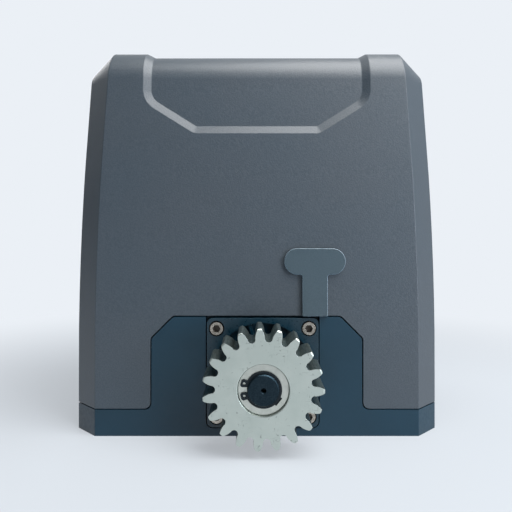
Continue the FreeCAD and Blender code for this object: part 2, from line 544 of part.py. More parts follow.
def make_base():
    tray = plan_block(0, RIM_HEIGHT, 0).cut(plan_block(FLOOR, RIM_HEIGHT + 1, BASE_WALL))
    lip_out = COVER_WALL + LIP_CLEARANCE
    lip = plan_block(FLOOR, RIM_HEIGHT + LIP_HEIGHT, lip_out)
    lip = lip.cut(plan_block(FLOOR - 1, RIM_HEIGHT + LIP_HEIGHT + 1, lip_out + LIP_WALL))
    shield = prism(shield_outline(0, RIM_HEIGHT, FRONT), V(0, SHIELD_THICK, 0))
    rear_shield = prism(shield_outline(0, RIM_HEIGHT, REAR - SHIELD_THICK), V(0, SHIELD_THICK, 0))

    # gearbox chamber with its rear bearing boss, and the tube that guides the release rod
    wall = CHAMBER_WALL
    chamber = box(CHAMBER_X0 - wall, CHAMBER_X1 + wall, SHIELD_BACK - 1, CHAMBER_REAR + wall, 1, CHAMBER_TOP)
    boss_r = OUTPUT_BEARING[1] + wall
    rear_boss = on_shaft(CHAMBER_REAR, CHAMBER_REAR + REAR_BOSS, boss_r)
    boss_foot = box(AXIS_X - boss_r, AXIS_X + boss_r, CHAMBER_REAR, CHAMBER_REAR + REAR_BOSS, 1, AXIS_Z)
    guide = on_shaft(CHAMBER_REAR + REAR_BOSS - 1, POCKET_FLOOR - 0.5, 2 * RELEASE_ROD_R)
    guide_web = box(AXIS_X - 2, AXIS_X + 2, CHAMBER_REAR, REAR - SHIELD_THICK + 1, 1, AXIS_Z)
    lid_posts = [column(x, y, 1, CHAMBER_TOP, 6.5) for x, y in lid_bolt_places()]

    # pads round the anchor slots, ribs from the chamber to the rim, and the pivot ears
    pads, ribs, ears = [], [], []
    for sx in (-1, 1):
        for sy in (-1, 1):
            x, y = sx * ANCHOR_X / 2, sy * ANCHOR_Y / 2
            pads.append(rounded_block(x - PAD_HALF_X, x + PAD_HALF_X, y - PAD_HALF_Y, y + PAD_HALF_Y,
                                      1, FLOOR + PAD_RISE, 6))
        for y in ((SHIELD_BACK + 36, CHAMBER_REAR - 2) if sx < 0 else (CHAMBER_REAR + 3,)):
            chamber_side = CHAMBER_X0 if sx < 0 else CHAMBER_X1
            ends = sorted((chamber_side, sx * (BASE_WIDTH / 2 - 2)))
            ribs.append(box(*ends, y - FLOOR_RIB / 2, y + FLOOR_RIB / 2, 1, RIM_HEIGHT - 4))
    ear_z = LEVER_HEIGHT / 2 + 1
    for z0, z1 in ((AXIS_Z - ear_z - 6, AXIS_Z - ear_z), (AXIS_Z + ear_z, AXIS_Z + ear_z + 6)):
        ears.append(rounded_block(AXIS_X - 7, AXIS_X + 7, REAR - SHIELD_THICK, PIVOT_Y + 6, z0, z1, 3))
    cap_seat = column(CAPACITOR_X, CAPACITOR_Y, 1, FLOOR + 4, CAPACITOR_R + 3)
    worm_boss = on_worm(1, LOW_BEARING_Z + WORM_LOW_BEARING[2], WORM_LOW_BEARING[1] + 4)
    foot_y = COIL_DEPTH / 2 - 3
    transformer_feet = [box(TRANSFORMER_X - CORE_WIDTH / 2, TRANSFORMER_X + CORE_WIDTH / 2,
                            TRANSFORMER_Y + s * foot_y - 4, TRANSFORMER_Y + s * foot_y + 4, 1, FLOOR + 4)
                        for s in (-1, 1)]

    solid = fuse(tray, lip, shield, rear_shield, chamber, rear_boss, boss_foot, guide, guide_web,
                 *lid_posts, *pads, *ribs, *ears, cap_seat, *transformer_feet)
    inside = box(CHAMBER_X0, CHAMBER_X1, SHIELD_BACK, CHAMBER_REAR, FLOOR, CHAMBER_TOP + 1)
    solid = solid.cut(inside)
    flange_bosses = [bar_y(x, z, SHIELD_BACK - 1, SHIELD_BACK + 12, 7) for x, z in flange_bolt_places()]
    solid = fuse(solid, worm_boss, *flange_bosses)

    # flange pocket, open upwards, with the spigot hole and the four tapped holes
    pocket = prism(flange_outline(FLANGE_GAP, FRONT - 1), V(0, LEDGE_FRONT - FRONT + 1, 0))
    x = FLANGE_WIDTH / 2 + FLANGE_GAP
    pocket_mouth = box(AXIS_X - x, AXIS_X + x, FRONT - 1, LEDGE_FRONT, FLANGE_Z, SHIELD_HEIGHT + 1)
    spigot_hole = on_shaft(LEDGE_FRONT - 1, SHIELD_BACK + 1, SPIGOT_R + RUNNING)
    tapped = [bar_y(x, z, LEDGE_FRONT - 1, LEDGE_FRONT + 13, M6_R) for x, z in flange_bolt_places()]
    # bearing seats
    rear_seat = on_shaft(CHAMBER_REAR - 1, SHAFT_REAR, OUTPUT_BEARING[1])
    rod_hole = on_shaft(SHAFT_REAR - 1, REAR, RELEASE_ROD_R + RUNNING)
    worm_seat = on_worm(LOW_BEARING_Z, LOW_BEARING_Z + WORM_LOW_BEARING[2] + 1, WORM_LOW_BEARING[1])
    lid_holes = [column(x, y, CHAMBER_TOP - 14, CHAMBER_TOP + 1, M6_R - 0.5) for x, y in lid_bolt_places()]
    # rear: lever pocket, latch slot and pin hole
    lever_pocket = box(AXIS_X - CAM_R - CAM_TRAVEL - 2, AXIS_X + LEVER_LENGTH + 12, POCKET_FLOOR, REAR + 12,
                       AXIS_Z - LEVER_HEIGHT / 2 - 1, AXIS_Z + LEVER_HEIGHT / 2 + 1)
    latch_x = AXIS_X + LOCK_AT
    latch_y = PIVOT_Y - LEVER_FRONT
    swing = math.hypot(TONGUE_REACH, TONGUE_HALF) + 1
    latch_slot = box(latch_x - TONGUE_HALF - 2, latch_x + TONGUE_REACH, latch_y - 2.5, latch_y + 1,
                     AXIS_Z, AXIS_Z + swing)
    pin_hole = column(AXIS_X, PIVOT_Y, AXIS_Z - 30, AXIS_Z + 30, RELEASE_PIN_R)
    # floor: anchor slots and cable entry; sides: holes for the cover screws
    slots = [anchor_slot(sx, sy, -1, FLOOR + PAD_RISE + 1) for sx in (-1, 1) for sy in (-1, 1)]
    cable_hole = column(CABLE_X, CABLE_Y, -1, FLOOR + 1, GROMMET_R)
    side_holes = [bar_x(SIDE_SCREW_Y, SIDE_SCREW_Z, s * BASE_WIDTH / 2 - 14, s * BASE_WIDTH / 2 + 14,
                        SIDE_SCREW_R) for s in (-1, 1)]
    cap_hole = column(CAPACITOR_X, CAPACITOR_Y, FLOOR, FLOOR + 5, CAPACITOR_R)
    solid = cut(solid, pocket, pocket_mouth, spigot_hole, *tapped, rear_seat, rod_hole, worm_seat,
                *lid_holes, lever_pocket, latch_slot, pin_hole, *slots, cable_hole, *side_holes, cap_hole)
    save("base_housing", solid)


# ---- flange, seal and bearings ------------------------------------------------------------------
def make_flange():
    plate = prism(flange_outline(0, FLANGE_FRONT), V(0, FLANGE_THICK, 0))
    bore = OUTPUT_BEARING[1]
    dish = on_shaft(FLANGE_FRONT - 1, FLANGE_FRONT + DISH_DEPTH, DISH_R, bore + 4.5)
    spokes = []
    for i in range(DISH_RIBS):
        rib = box(AXIS_X + bore, AXIS_X + DISH_R + 1, FLANGE_FRONT + 1, FLANGE_BACK - 1,
                  AXIS_Z - RIB_WIDTH / 2, AXIS_Z + RIB_WIDTH / 2)
        rib.rotate(V(AXIS_X, 0, AXIS_Z), Y_AXIS, (i + 0.5) * 360 / DISH_RIBS)
        spokes.append(rib)
    spigot_end = FRONT_BEARING_Y + OUTPUT_BEARING[2] + 0.4
    solid = fuse(plate.cut(dish), *spokes, on_shaft(FLANGE_BACK - 1, spigot_end, SPIGOT_R))
    seal_seat = on_shaft(FLANGE_FRONT - 1, FRONT_BEARING_Y - 1, bore)
    neck = on_shaft(FLANGE_FRONT, FRONT_BEARING_Y + 1, bore - 3)
    bearing_seat = on_shaft(FRONT_BEARING_Y, spigot_end + 1, bore)
    holes = []
    for x, z in flange_bolt_places():
        holes.append(bar_y(x, z, FLANGE_FRONT - 1, FLANGE_BACK + 1, M6_R + 0.3))
        holes.append(bar_y(x, z, FLANGE_FRONT - 1, FLANGE_FRONT + M6_HEAD - 0.6, M6_HEAD_R + 0.9))
    save("gearbox_flange", cut(solid, seal_seat, neck, bearing_seat, *holes))

    gasket = prism(flange_outline(-0.5, FLANGE_BACK), V(0, GASKET, 0))
    gasket_holes = [bar_y(x, z, FLANGE_BACK - 1, LEDGE_FRONT + 1, M6_R + 0.3)
                    for x, z in flange_bolt_places()]
    spigot_space = on_shaft(FLANGE_BACK - 1, LEDGE_FRONT + 1, SPIGOT_R + 0.2)
    save("flange_gasket", cut(gasket, spigot_space, *gasket_holes))

    head_y = FLANGE_FRONT - 0.6
    screws = []
    for x, z in flange_bolt_places():
        head = bar_y(x, z, head_y, head_y + M6_HEAD, M6_HEAD_R)
        shank = bar_y(x, z, head_y + M6_HEAD - 1, LEDGE_FRONT + 12, M6_R)
        socket = hexagon_hole(x, z, head_y, 5.0, 3.0)
        screws.append(fuse(head, shank).cut(socket))
    save("flange_screws", *screws)

    seal = on_shaft(FLANGE_FRONT - 0.3, FRONT_BEARING_Y - 1, bore, SHAFT_COLLAR_R + RUNNING)
    lip_groove = on_shaft(FLANGE_FRONT - 1, FLANGE_FRONT + 1.2, bore - 2.5, SHAFT_COLLAR_R + 2)
    save("shaft_seal", seal.cut(lip_groove))


def hexagon_hole(x, z, y, across, depth):
    """A hexagon socket that opens towards the front."""
    corner = across / math.sqrt(3)
    turns = [math.radians(60 * i) for i in range(6)]
    points = [V(x + corner * math.cos(t), y - 1, z + corner * math.sin(t)) for t in turns]
    return prism(Part.makePolygon(points + points[:1]), V(0, depth + 1, 0))


def bearing(name, tube, start, size):
    """A shielded ball bearing: an outer ring with its shields, and an inner ring."""
    bore, outer, width = size
    inner_r = bore + (outer - bore) * INNER_RING_SHARE
    save(f"{name}_outer", tube(start, start + width, outer, inner_r + RACE_GAP))
    save(f"{name}_inner", tube(start, start + width, inner_r, bore))


def make_bearings():
    bearing("front_bearing", on_shaft, FRONT_BEARING_Y, OUTPUT_BEARING)
    bearing("rear_bearing", on_shaft, REAR_BEARING_Y, OUTPUT_BEARING)
    bearing("worm_lower_bearing", on_worm, LOW_BEARING_Z, WORM_LOW_BEARING)
    bearing("worm_upper_bearing", on_worm, HIGH_BEARING_Z, WORM_HIGH_BEARING)
    bearing("motor_top_bearing", on_worm, TOP_BEARING_Z, MOTOR_TOP_BEARING)


# ---- gears --------------------------------------------------------------------------------------
def involute(angle):
    return math.tan(angle) - angle


def half_tooth(radius, module, teeth, thinning):
    """Half the angle that a tooth covers at a radius, for a standard involute tooth."""
    alpha = math.radians(PRESSURE_ANGLE)
    pitch_r = module * teeth / 2
    base_r = pitch_r * math.cos(alpha)
    here = math.acos(min(base_r / max(radius, base_r), 1.0))
    return math.pi / (2 * teeth) - thinning / (2 * pitch_r) + involute(alpha) - involute(here)


def gear_wire(module, teeth, turn, tip_r, root_r, thinning, place):
    """A closed gear outline of arcs; the middle of a tooth points along the turn angle."""
    base_r = module * teeth / 2 * math.cos(math.radians(PRESSURE_ANGLE))
    start_r = max(base_r, root_r + 0.38 * module)
    radii = [start_r, (start_r + tip_r) / 2, tip_r]
    halves = [half_tooth(r, module, teeth, thinning) for r in radii]
    step = 2 * math.pi / teeth

    def at(radius, angle):
        return place(radius * math.cos(angle), radius * math.sin(angle))

    edges = []
    for i in range(teeth):
        middle = turn + i * step
        rising = [at(r, middle - h) for r, h in zip(radii, halves)]
        falling = [at(r, middle + h) for r, h in zip(reversed(radii), reversed(halves))]
        gap = middle + step / 2
        following = at(start_r, middle + step - halves[0])
        edges.append(Part.Arc(*rising).toShape())
        edges.append(Part.Arc(rising[2], at(tip_r, middle), falling[0]).toShape())
        edges.append(Part.Arc(*falling).toShape())
        edges.append(Part.Arc(falling[2], at(root_r, gap), following).toShape())
    return Part.Wire(edges)


def facet_gear_wire(module, teeth, turn, tip_r, root_r, thinning, place):
    """A closed gear outline of straight runs, two to a flank."""
    pitch_r = module * teeth / 2
    half_root = half_tooth(root_r, module, teeth, thinning)
    points = []
    for i in range(teeth):
        middle = turn + i * 2 * math.pi / teeth
        for r, half in ((root_r, half_root), (pitch_r, half_tooth(pitch_r, module, teeth, thinning)),
                        (tip_r, half_tooth(tip_r, module, teeth, thinning))):
            points.append((middle - half, r))
        points += [(2 * middle - angle, r) for angle, r in reversed(points[-3:])]
    corners = [place(r * math.cos(angle), r * math.sin(angle)) for angle, r in points]
    return Part.makePolygon(corners + corners[:1])


def make_pinion():
    tip_r = PINION_MODULE * (PINION_TEETH + 2) / 2
    root_r = PINION_MODULE * (PINION_TEETH - 2.5) / 2
    wire = gear_wire(PINION_MODULE, PINION_TEETH, math.radians(90 + PINION_TURN), tip_r, root_r, 0.2,
                     lambda u, v: V(AXIS_X + u, PINION_FACE, AXIS_Z + v))
    teeth = prism(wire, V(0, PINION_WIDTH, 0))
    # the turned chamfers round both ends of the teeth
    small = tip_r - TIP_CHAMFER
    front = Part.makeCone(small, small + PINION_WIDTH, PINION_WIDTH, V(AXIS_X, PINION_FACE, AXIS_Z), Y_AXIS)
    rear = Part.makeCone(small + PINION_WIDTH, small, PINION_WIDTH, V(AXIS_X, PINION_FACE, AXIS_Z), Y_AXIS)
    solid = teeth.common(front).common(rear)
    bore = on_shaft(PINION_FACE - 1, PINION_BACK + 1, SHAFT_NOSE_R + 0.02)
    counterbore = on_shaft(PINION_FACE - 1, PINION_FACE + COUNTERBORE_DEPTH, COUNTERBORE_R)
    save("pinion", cut(solid, bore, counterbore, key_block(PINION_FACE, PINION_BACK, 0.05, 8.0)))


def key_block(y0, y1, spare, bottom):
    """A bar along the shaft at the key's angle, from a radius outwards."""
    top = SHAFT_NOSE_R - KEY_SEAT + KEY_HEIGHT + spare
    half = KEY_WIDTH / 2 + spare
    block = box(AXIS_X + bottom, AXIS_X + top, y0, y1, AXIS_Z - half, AXIS_Z + half)
    block.rotate(V(AXIS_X, 0, AXIS_Z), Y_AXIS, -KEY_ANGLE)
    return block


def make_shaft():
    solid = fuse(on_shaft(SHAFT_FRONT, PINION_BACK + 1, SHAFT_NOSE_R),
                 on_shaft(PINION_BACK, FRONT_BEARING_Y, SHAFT_COLLAR_R),
                 on_shaft(FRONT_BEARING_Y - 1, SHAFT_REAR, SHAFT_R))
    nose_edge = [e for e in solid.Edges if abs(e.CenterOfMass.y - SHAFT_FRONT) < 0.01]
    solid = solid.makeChamfer(0.9, nose_edge)
    groove = on_shaft(CIRCLIP_FACE, CIRCLIP_FACE + CIRCLIP_THICK, SHAFT_NOSE_R + 1, SHAFT_NOSE_R - 0.5)
    centre_hole = on_shaft(SHAFT_FRONT - 1, SHAFT_FRONT + 6, 2.0)
    centre_cone = Part.makeCone(3.2, 0.6, 2.6, V(AXIS_X, SHAFT_FRONT, AXIS_Z), Y_AXIS)
    hollow = on_shaft(SHAFT_REAR - 26, SHAFT_REAR + 1, RELEASE_ROD_R + 1)
    seat = key_block(PINION_FACE + COUNTERBORE_DEPTH, PINION_BACK - 2, 0, SHAFT_NOSE_R - KEY_SEAT)
    wheel_seat = key_block(WHEEL_Y - HUB_WIDTH / 2 + 2, WHEEL_Y + HUB_WIDTH / 2 - 2, 0, SHAFT_R - KEY_SEAT)
    save("output_shaft", cut(solid, groove, centre_hole, centre_cone, hollow, seat, wheel_seat))
    save("pinion_key", seat)
    save("wheel_key", key_block(WHEEL_Y - HUB_WIDTH / 2 + 2, WHEEL_Y + HUB_WIDTH / 2 - 2, 0,
                                SHAFT_R - KEY_SEAT))
    save("spacer_sleeve", on_shaft(FRONT_BEARING_Y + OUTPUT_BEARING[2], WHEEL_Y - HUB_WIDTH / 2,
                                   SHAFT_R + 3.2, SHAFT_R))
    save("rear_spacer", on_shaft(WHEEL_Y + HUB_WIDTH / 2, REAR_BEARING_Y, SHAFT_R + 3.2, SHAFT_R))


def make_retainers():
    """Thrust washer and circlip in the pinion's counterbore."""
    washer_front = PINION_FACE + COUNTERBORE_DEPTH - WASHER_THICK
    washer = on_shaft(washer_front, washer_front + WASHER_THICK, COUNTERBORE_R - 0.35, SHAFT_NOSE_R + 0.15)
    notch = key_block(washer_front - 1, washer_front + WASHER_THICK + 1, 0.2, 8.0)
    save("thrust_washer", washer.cut(notch))

    ring = on_shaft(CIRCLIP_FACE, CIRCLIP_FACE + CIRCLIP_THICK, SHAFT_NOSE_R + 1.7, SHAFT_NOSE_R - 0.45)
    lugs, holes = [], []
    for side in (-1, 1):
        lug = rounded_block(-16.2, -10.8, -2.6, 2.6, 0, CIRCLIP_THICK, 1.6)
        lug.rotate(V(0, 0, 0), X_AXIS, 90)
        lug.translate(V(AXIS_X, CIRCLIP_FACE + CIRCLIP_THICK, AXIS_Z))
        lug.rotate(V(AXIS_X, 0, AXIS_Z), Y_AXIS, side * 18)
        lugs.append(lug)
        angle = math.radians(180 + side * 18)
        holes.append(bar_y(AXIS_X + 13.8 * math.cos(angle), AXIS_Z + 13.8 * math.sin(angle),
                           CIRCLIP_FACE - 1, CIRCLIP_FACE + 3, 1.0))
    opening = box(AXIS_X - 20, AXIS_X, CIRCLIP_FACE - 1, CIRCLIP_FACE + 3, AXIS_Z - 1.9, AXIS_Z + 1.9)
    inside = on_shaft(CIRCLIP_FACE - 1, CIRCLIP_FACE + 3, SHAFT_NOSE_R - 0.45)
    save("circlip", cut(fuse(ring, *lugs), opening, inside, *holes))


def make_wheel():
    tip_r = WHEEL_PITCH_R + WORM_MODULE
    root_r = WHEEL_PITCH_R - 1.2 * WORM_MODULE
    half = WHEEL_WIDTH / 2
    twist = math.tan(WORM_LEAD) * half / WHEEL_PITCH_R
    gap_at_worm = math.pi + math.pi / WHEEL_TEETH

    def section(y, turn):
        return facet_gear_wire(WORM_MODULE, WHEEL_TEETH, gap_at_worm - turn, tip_r, root_r,
                               WORM_BACKLASH / 2, lambda u, v: V(AXIS_X + u, y, AXIS_Z + v))

    rim = Part.makeLoft([section(WHEEL_Y - half, -twist), section(WHEEL_Y + half, twist)], True, True)
    web_r = root_r - 4
    relief = on_shaft(WHEEL_Y - half - 1, WHEEL_Y - half + 5, web_r, HUB_R + 2)
    relief_back = on_shaft(WHEEL_Y + half - 5, WHEEL_Y + half + 1, web_r, HUB_R + 2)
    hub = on_shaft(WHEEL_Y - HUB_WIDTH / 2, WHEEL_Y + HUB_WIDTH / 2, HUB_R)
    solid = fuse(cut(rim, relief, relief_back), hub)
    bore = on_shaft(WHEEL_Y - HUB_WIDTH, WHEEL_Y + HUB_WIDTH, SHAFT_R)
    keyway = key_block(WHEEL_Y - HUB_WIDTH, WHEEL_Y + HUB_WIDTH, 0.05, 8.0)
    save("worm_wheel", cut(solid, bore, keyway))


def make_worm():
    """One-start right-hand worm, its journals and the motor shaft in one piece."""
    tip_r, root_r = WORM_PITCH_R + WORM_MODULE, WORM_PITCH_R - 1.2 * WORM_MODULE
    reach = THREAD_TURNS * WORM_PITCH
    flank = math.tan(math.radians(PRESSURE_ANGLE))
    half_pitch = (WORM_PITCH / 2 - WORM_BACKLASH / 2) / 2
    low = AXIS_Z - reach - WORM_PITCH
    helix = Part.makeHelix(WORM_PITCH, 2 * reach + 2 * WORM_PITCH, WORM_PITCH_R)
    foot_r = root_r - 0.5
    ends = [(foot_r, WORM_PITCH_R - foot_r), (tip_r, WORM_PITCH_R - tip_r)]
    (r0, d0), (r1, d1) = ends
    h0, h1 = half_pitch + d0 * flank, half_pitch + d1 * flank
    corners = [V(r0, 0, -h0), V(r1, 0, -h1), V(r1, 0, h1), V(r0, 0, h0)]
    profile = Part.makePolygon(corners + corners[:1])
    thread = Part.Wire(helix.Edges).makePipeShell([profile], True, True)
    thread.translate(V(WORM_X, WORM_Y, low))
    thread = thread.common(on_worm(AXIS_Z - reach, AXIS_Z + reach, tip_r + 1))
    core_high = AXIS_Z + reach + 2
    low_top = LOW_BEARING_Z + WORM_LOW_BEARING[2]
    high_top = HIGH_BEARING_Z + WORM_HIGH_BEARING[2]
    shaft = fuse(on_worm(LOW_BEARING_Z, low_top + 1, WORM_LOW_BEARING[0]),
                 on_worm(low_top, core_high, root_r),
                 on_worm(core_high - 1, HIGH_BEARING_Z, 11.0),
                 on_worm(HIGH_BEARING_Z - 1, high_top + 1, WORM_HIGH_BEARING[0]),
                 on_worm(high_top, TOP_BEARING_Z, MOTOR_SHAFT_R),
                 on_worm(TOP_BEARING_Z - 1, TOP_BEARING_Z + MOTOR_TOP_BEARING[2], MOTOR_TOP_BEARING[0]))
    save("worm_shaft", shaft.fuse(thread))
    save("rotor_core", on_worm(STATOR_Z, STATOR_Z + STATOR_LENGTH, ROTOR_R, MOTOR_SHAFT_R))


# ---- motor --------------------------------------------------------------------------------------
def end_cap_bolt_places():
    turns = [math.radians(45 + 90 * i) for i in range(4)]
    return [(WORM_X + END_CAP_BOLT_R * math.cos(t), WORM_Y + END_CAP_BOLT_R * math.sin(t)) for t in turns]


def make_lid():
    wall = CHAMBER_WALL
    low = CHAMBER_TOP + GASKET
    plate_plan = (CHAMBER_X0 - wall, CHAMBER_X1 + wall, SHIELD_BACK + 1, CHAMBER_REAR + wall)
    plate = rounded_block(*plate_plan, low, LID_TOP, 5)
    motor_foot = on_worm(low, LID_TOP, MOTOR_R + FIN_REACH)
    boss = on_worm(low, HIGH_BOSS_TOP, WORM_HIGH_BEARING[1] + 5)
    bosses = [column(x, y, low, LID_TOP, 6.5) for x, y in lid_bolt_places()]
    solid = fuse(plate, motor_foot, boss, *bosses)
    seat = on_worm(low - 1, HIGH_BEARING_Z + WORM_HIGH_BEARING[2], WORM_HIGH_BEARING[1])
    shaft_hole = on_worm(low, HIGH_BOSS_TOP + 1, WORM_HIGH_BEARING[0] + 3)
    holes = [column(x, y, low - 1, LID_TOP + 1, M6_R - 0.3) for x, y in lid_bolt_places()]
    save("gearbox_lid", cut(solid, seat, shaft_hole, *holes))

    gasket = rounded_block(*plate_plan, CHAMBER_TOP, low, 5)
    gasket = fuse(gasket, *[column(x, y, CHAMBER_TOP, low, 6.5) for x, y in lid_bolt_places()])
    opening = box(CHAMBER_X0, CHAMBER_X1, SHIELD_BACK, CHAMBER_REAR, CHAMBER_TOP - 1, low + 1)
    gasket_holes = [column(x, y, CHAMBER_TOP - 1, low + 1, M6_R - 0.3) for x, y in lid_bolt_places()]
    save("lid_gasket", cut(gasket, opening, *gasket_holes))

    screws = []
    for x, y in lid_bolt_places():
        head = column(x, y, LID_TOP, LID_TOP + 4, 4.5)
        shank = column(x, y, CHAMBER_TOP - 12, LID_TOP + 1, M6_R - 0.5)
        screws.append(fuse(head, shank))
    save("lid_screws", *screws)


def make_motor():
    shell = on_worm(LID_TOP, MOTOR_TOP, MOTOR_R, MOTOR_R - MOTOR_WALL)
    fins = []
    for i in range(MOTOR_FINS):
        fin = box(WORM_X + MOTOR_R - 1, WORM_X + MOTOR_R + FIN_REACH, WORM_Y - FIN_WIDTH / 2,
                  WORM_Y + FIN_WIDTH / 2, LID_TOP + 4, MOTOR_TOP - 4)
        fin.rotate(V(WORM_X, WORM_Y, 0), Z_AXIS, i * 360 / MOTOR_FINS)
        fins.append(fin)
    save("motor_shell", fuse(shell, *fins))
    stator_bore = ROTOR_R + AIR_GAP
    core = on_worm(STATOR_Z, STATOR_Z + STATOR_LENGTH, MOTOR_R - MOTOR_WALL, stator_bore)
    save("stator_core", core)
    coil, inner, outer = WINDING_HEIGHT, stator_bore + 2, MOTOR_R - MOTOR_WALL - 5
    cut_back = coil / 3
    rings = []
    for face, away in ((STATOR_Z, -1), (STATOR_Z + STATOR_LENGTH, 1)):
        points = [(inner, face), (outer, face), (outer, face + away * (coil - cut_back)),
                  (outer - cut_back, face + away * coil), (inner + cut_back, face + away * coil),
                  (inner, face + away * (coil - cut_back))]
        section = outline(points, [0] * 6, lambda r, z: V(WORM_X + r, WORM_Y, z))
        rings.append(Part.Face(section).revolve(V(WORM_X, WORM_Y, 0), Z_AXIS, 360))
    save("stator_windings", *rings)

    cap_top = MOTOR_TOP + END_CAP
    cap = on_worm(MOTOR_TOP, cap_top, MOTOR_R)
    top_edge = [e for e in cap.Edges if abs(e.CenterOfMass.z - cap_top) < 0.01 and e.Closed]
    cap = cap.makeChamfer(4.0, top_edge)
    seat = on_worm(MOTOR_TOP - 1, TOP_BEARING_Z + MOTOR_TOP_BEARING[2], MOTOR_TOP_BEARING[1])
    collar = on_worm(TOP_BEARING_Z, MOTOR_TOP + 1, MOTOR_TOP_BEARING[1] + 4)
    bolts, holes = [], []
    for x, y in end_cap_bolt_places():
        holes.append(column(x, y, MOTOR_TOP - 1, cap_top + 1, CAP_BOLT_R))
        holes.append(column(x, y, cap_top - 3, cap_top + 1, CAP_BOLT_HEAD_R + 0.8))
        head = column(x, y, cap_top - 3, cap_top + 0.5, CAP_BOLT_HEAD_R)
        bolts.append(fuse(head, column(x, y, MOTOR_TOP - 1, cap_top - 2, CAP_BOLT_R)))
    save("motor_end_cap", cut(fuse(cap, collar), seat, *holes))
    save("end_cap_bolts", *bolts)


# ---- electrics ----------------------------------------------------------------------------------
def make_capacitor():
    x, y = CAPACITOR_X, CAPACITOR_Y
    top = FLOOR + CAPACITOR_LENGTH
    can = column(x, y, FLOOR, top, CAPACITOR_R)
    tabs = [box(x + s * 6 - 3, x + s * 6 + 3, y - 0.4, y + 0.4, top - 1, top + 8) for s in (-1, 1)]
    save("run_capacitor", fuse(can, *tabs))
    # a sheet clip round the can, on a post that stands beside its seat
    low = FLOOR + CLIP_RISE
    high, half = low + CLIP_WIDTH, CLIP_WIDTH / 2
    inside = column(x, y, low - 1, high + 1, CAPACITOR_R)
    post_x = x - CAPACITOR_R - 3.5
    band = column(x, y, low, high, CAPACITOR_R + CLIP_BAND)
    bridge = box(post_x - 1, x - CAPACITOR_R + 1, y - half, y + half, low, high)
    post = box(post_x - 5.5, post_x, y - half, y + half, FLOOR, high)
    save("capacitor_clip", fuse(band, bridge, post).cut(inside))


def make_sensor():
    """The travel-limit sensor behind the plug, on a bent bracket that stands on the gearbox lid."""
    plate_y = SHIELD_BACK + 2
    sheet = 2.0
    high = PLUG_FOOT + PLUG_HEIGHT - 8
    upright = box(PLUG_X - 16, PLUG_X + 12, plate_y, plate_y + sheet, LID_TOP, high + 4)
    foot = box(PLUG_X - 16, PLUG_X - 2, plate_y, plate_y + 20, LID_TOP, LID_TOP + sheet)
    save("sensor_bracket", fuse(upright, foot))
    body = box(PLUG_X - 11, PLUG_X + 11, plate_y - 7, plate_y, LID_TOP + 1, high)
    window = box(PLUG_X - 6, PLUG_X + 6, plate_y - 8, plate_y - 6.2, LID_TOP + 8, high - 6)
    save("limit_sensor", body.cut(window))


def make_grommet():
    groove_low, groove_high = 0.0, FLOOR
    x, y = CABLE_X, CABLE_Y
    solid = fuse(column(x, y, groove_low, groove_high + 1, GROMMET_R),
                 column(x, y, groove_high, groove_high + GROMMET_LIP, GROMMET_R + 3))
    save("cable_grommet", solid.cut(column(x, y, -1, groove_high + GROMMET_LIP + 1, CABLE_R)))


def board_holes():
    inset = BOARD_HOLE_INSET
    return [(x, y) for x in (BOARD_X0 + inset, BOARD_X1 - inset)
            for y in (BOARD_Y0 + inset, BOARD_Y1 - inset)]


def board_block(grow, z0, z1, radius):
    """A slab of the board's plan, grown on every side."""
    return rounded_block(BOARD_X0 - grow, BOARD_X1 + grow, BOARD_Y0 - grow, BOARD_Y1 + grow, z0, z1, radius)


def make_tray():
    plate = board_block(TRAY_MARGIN, TRAY_Z, TRAY_Z + TRAY_THICK, 4)
    rim = board_block(TRAY_MARGIN, TRAY_Z, BOARD_Z - 2, 4)
    rim = rim.cut(board_block(TRAY_MARGIN - TRAY_RIM, TRAY_Z - 1, BOARD_Z, 2.5))
    posts = [column(x, y, TRAY_Z, BOARD_Z, 4) for x, y in board_holes()]
    legs = []
    for x in (BOARD_X0 + LEG / 2, BOARD_X1 - LEG / 2):
        for y in (BOARD_Y0 + LEG / 2, BOARD_Y1 - LEG / 2):
            half = LEG / 2
            legs.append(rounded_block(x - half, x + half, y - half, y + half, FLOOR, TRAY_Z + 1, 2))
    window = box(BOARD_X0 + LEG + 4, BOARD_X1 - LEG - 4, BOARD_Y0 + LEG + 6, BOARD_Y1 - LEG - 6,
                 TRAY_Z - 1, TRAY_Z + TRAY_THICK + 1)
    pilots = [column(x, y, BOARD_Z - 7, BOARD_Z + 1, BOARD_SCREW_R) for x, y in board_holes()]
    save("board_tray", cut(fuse(plate, rim, *posts, *legs), window, *pilots))


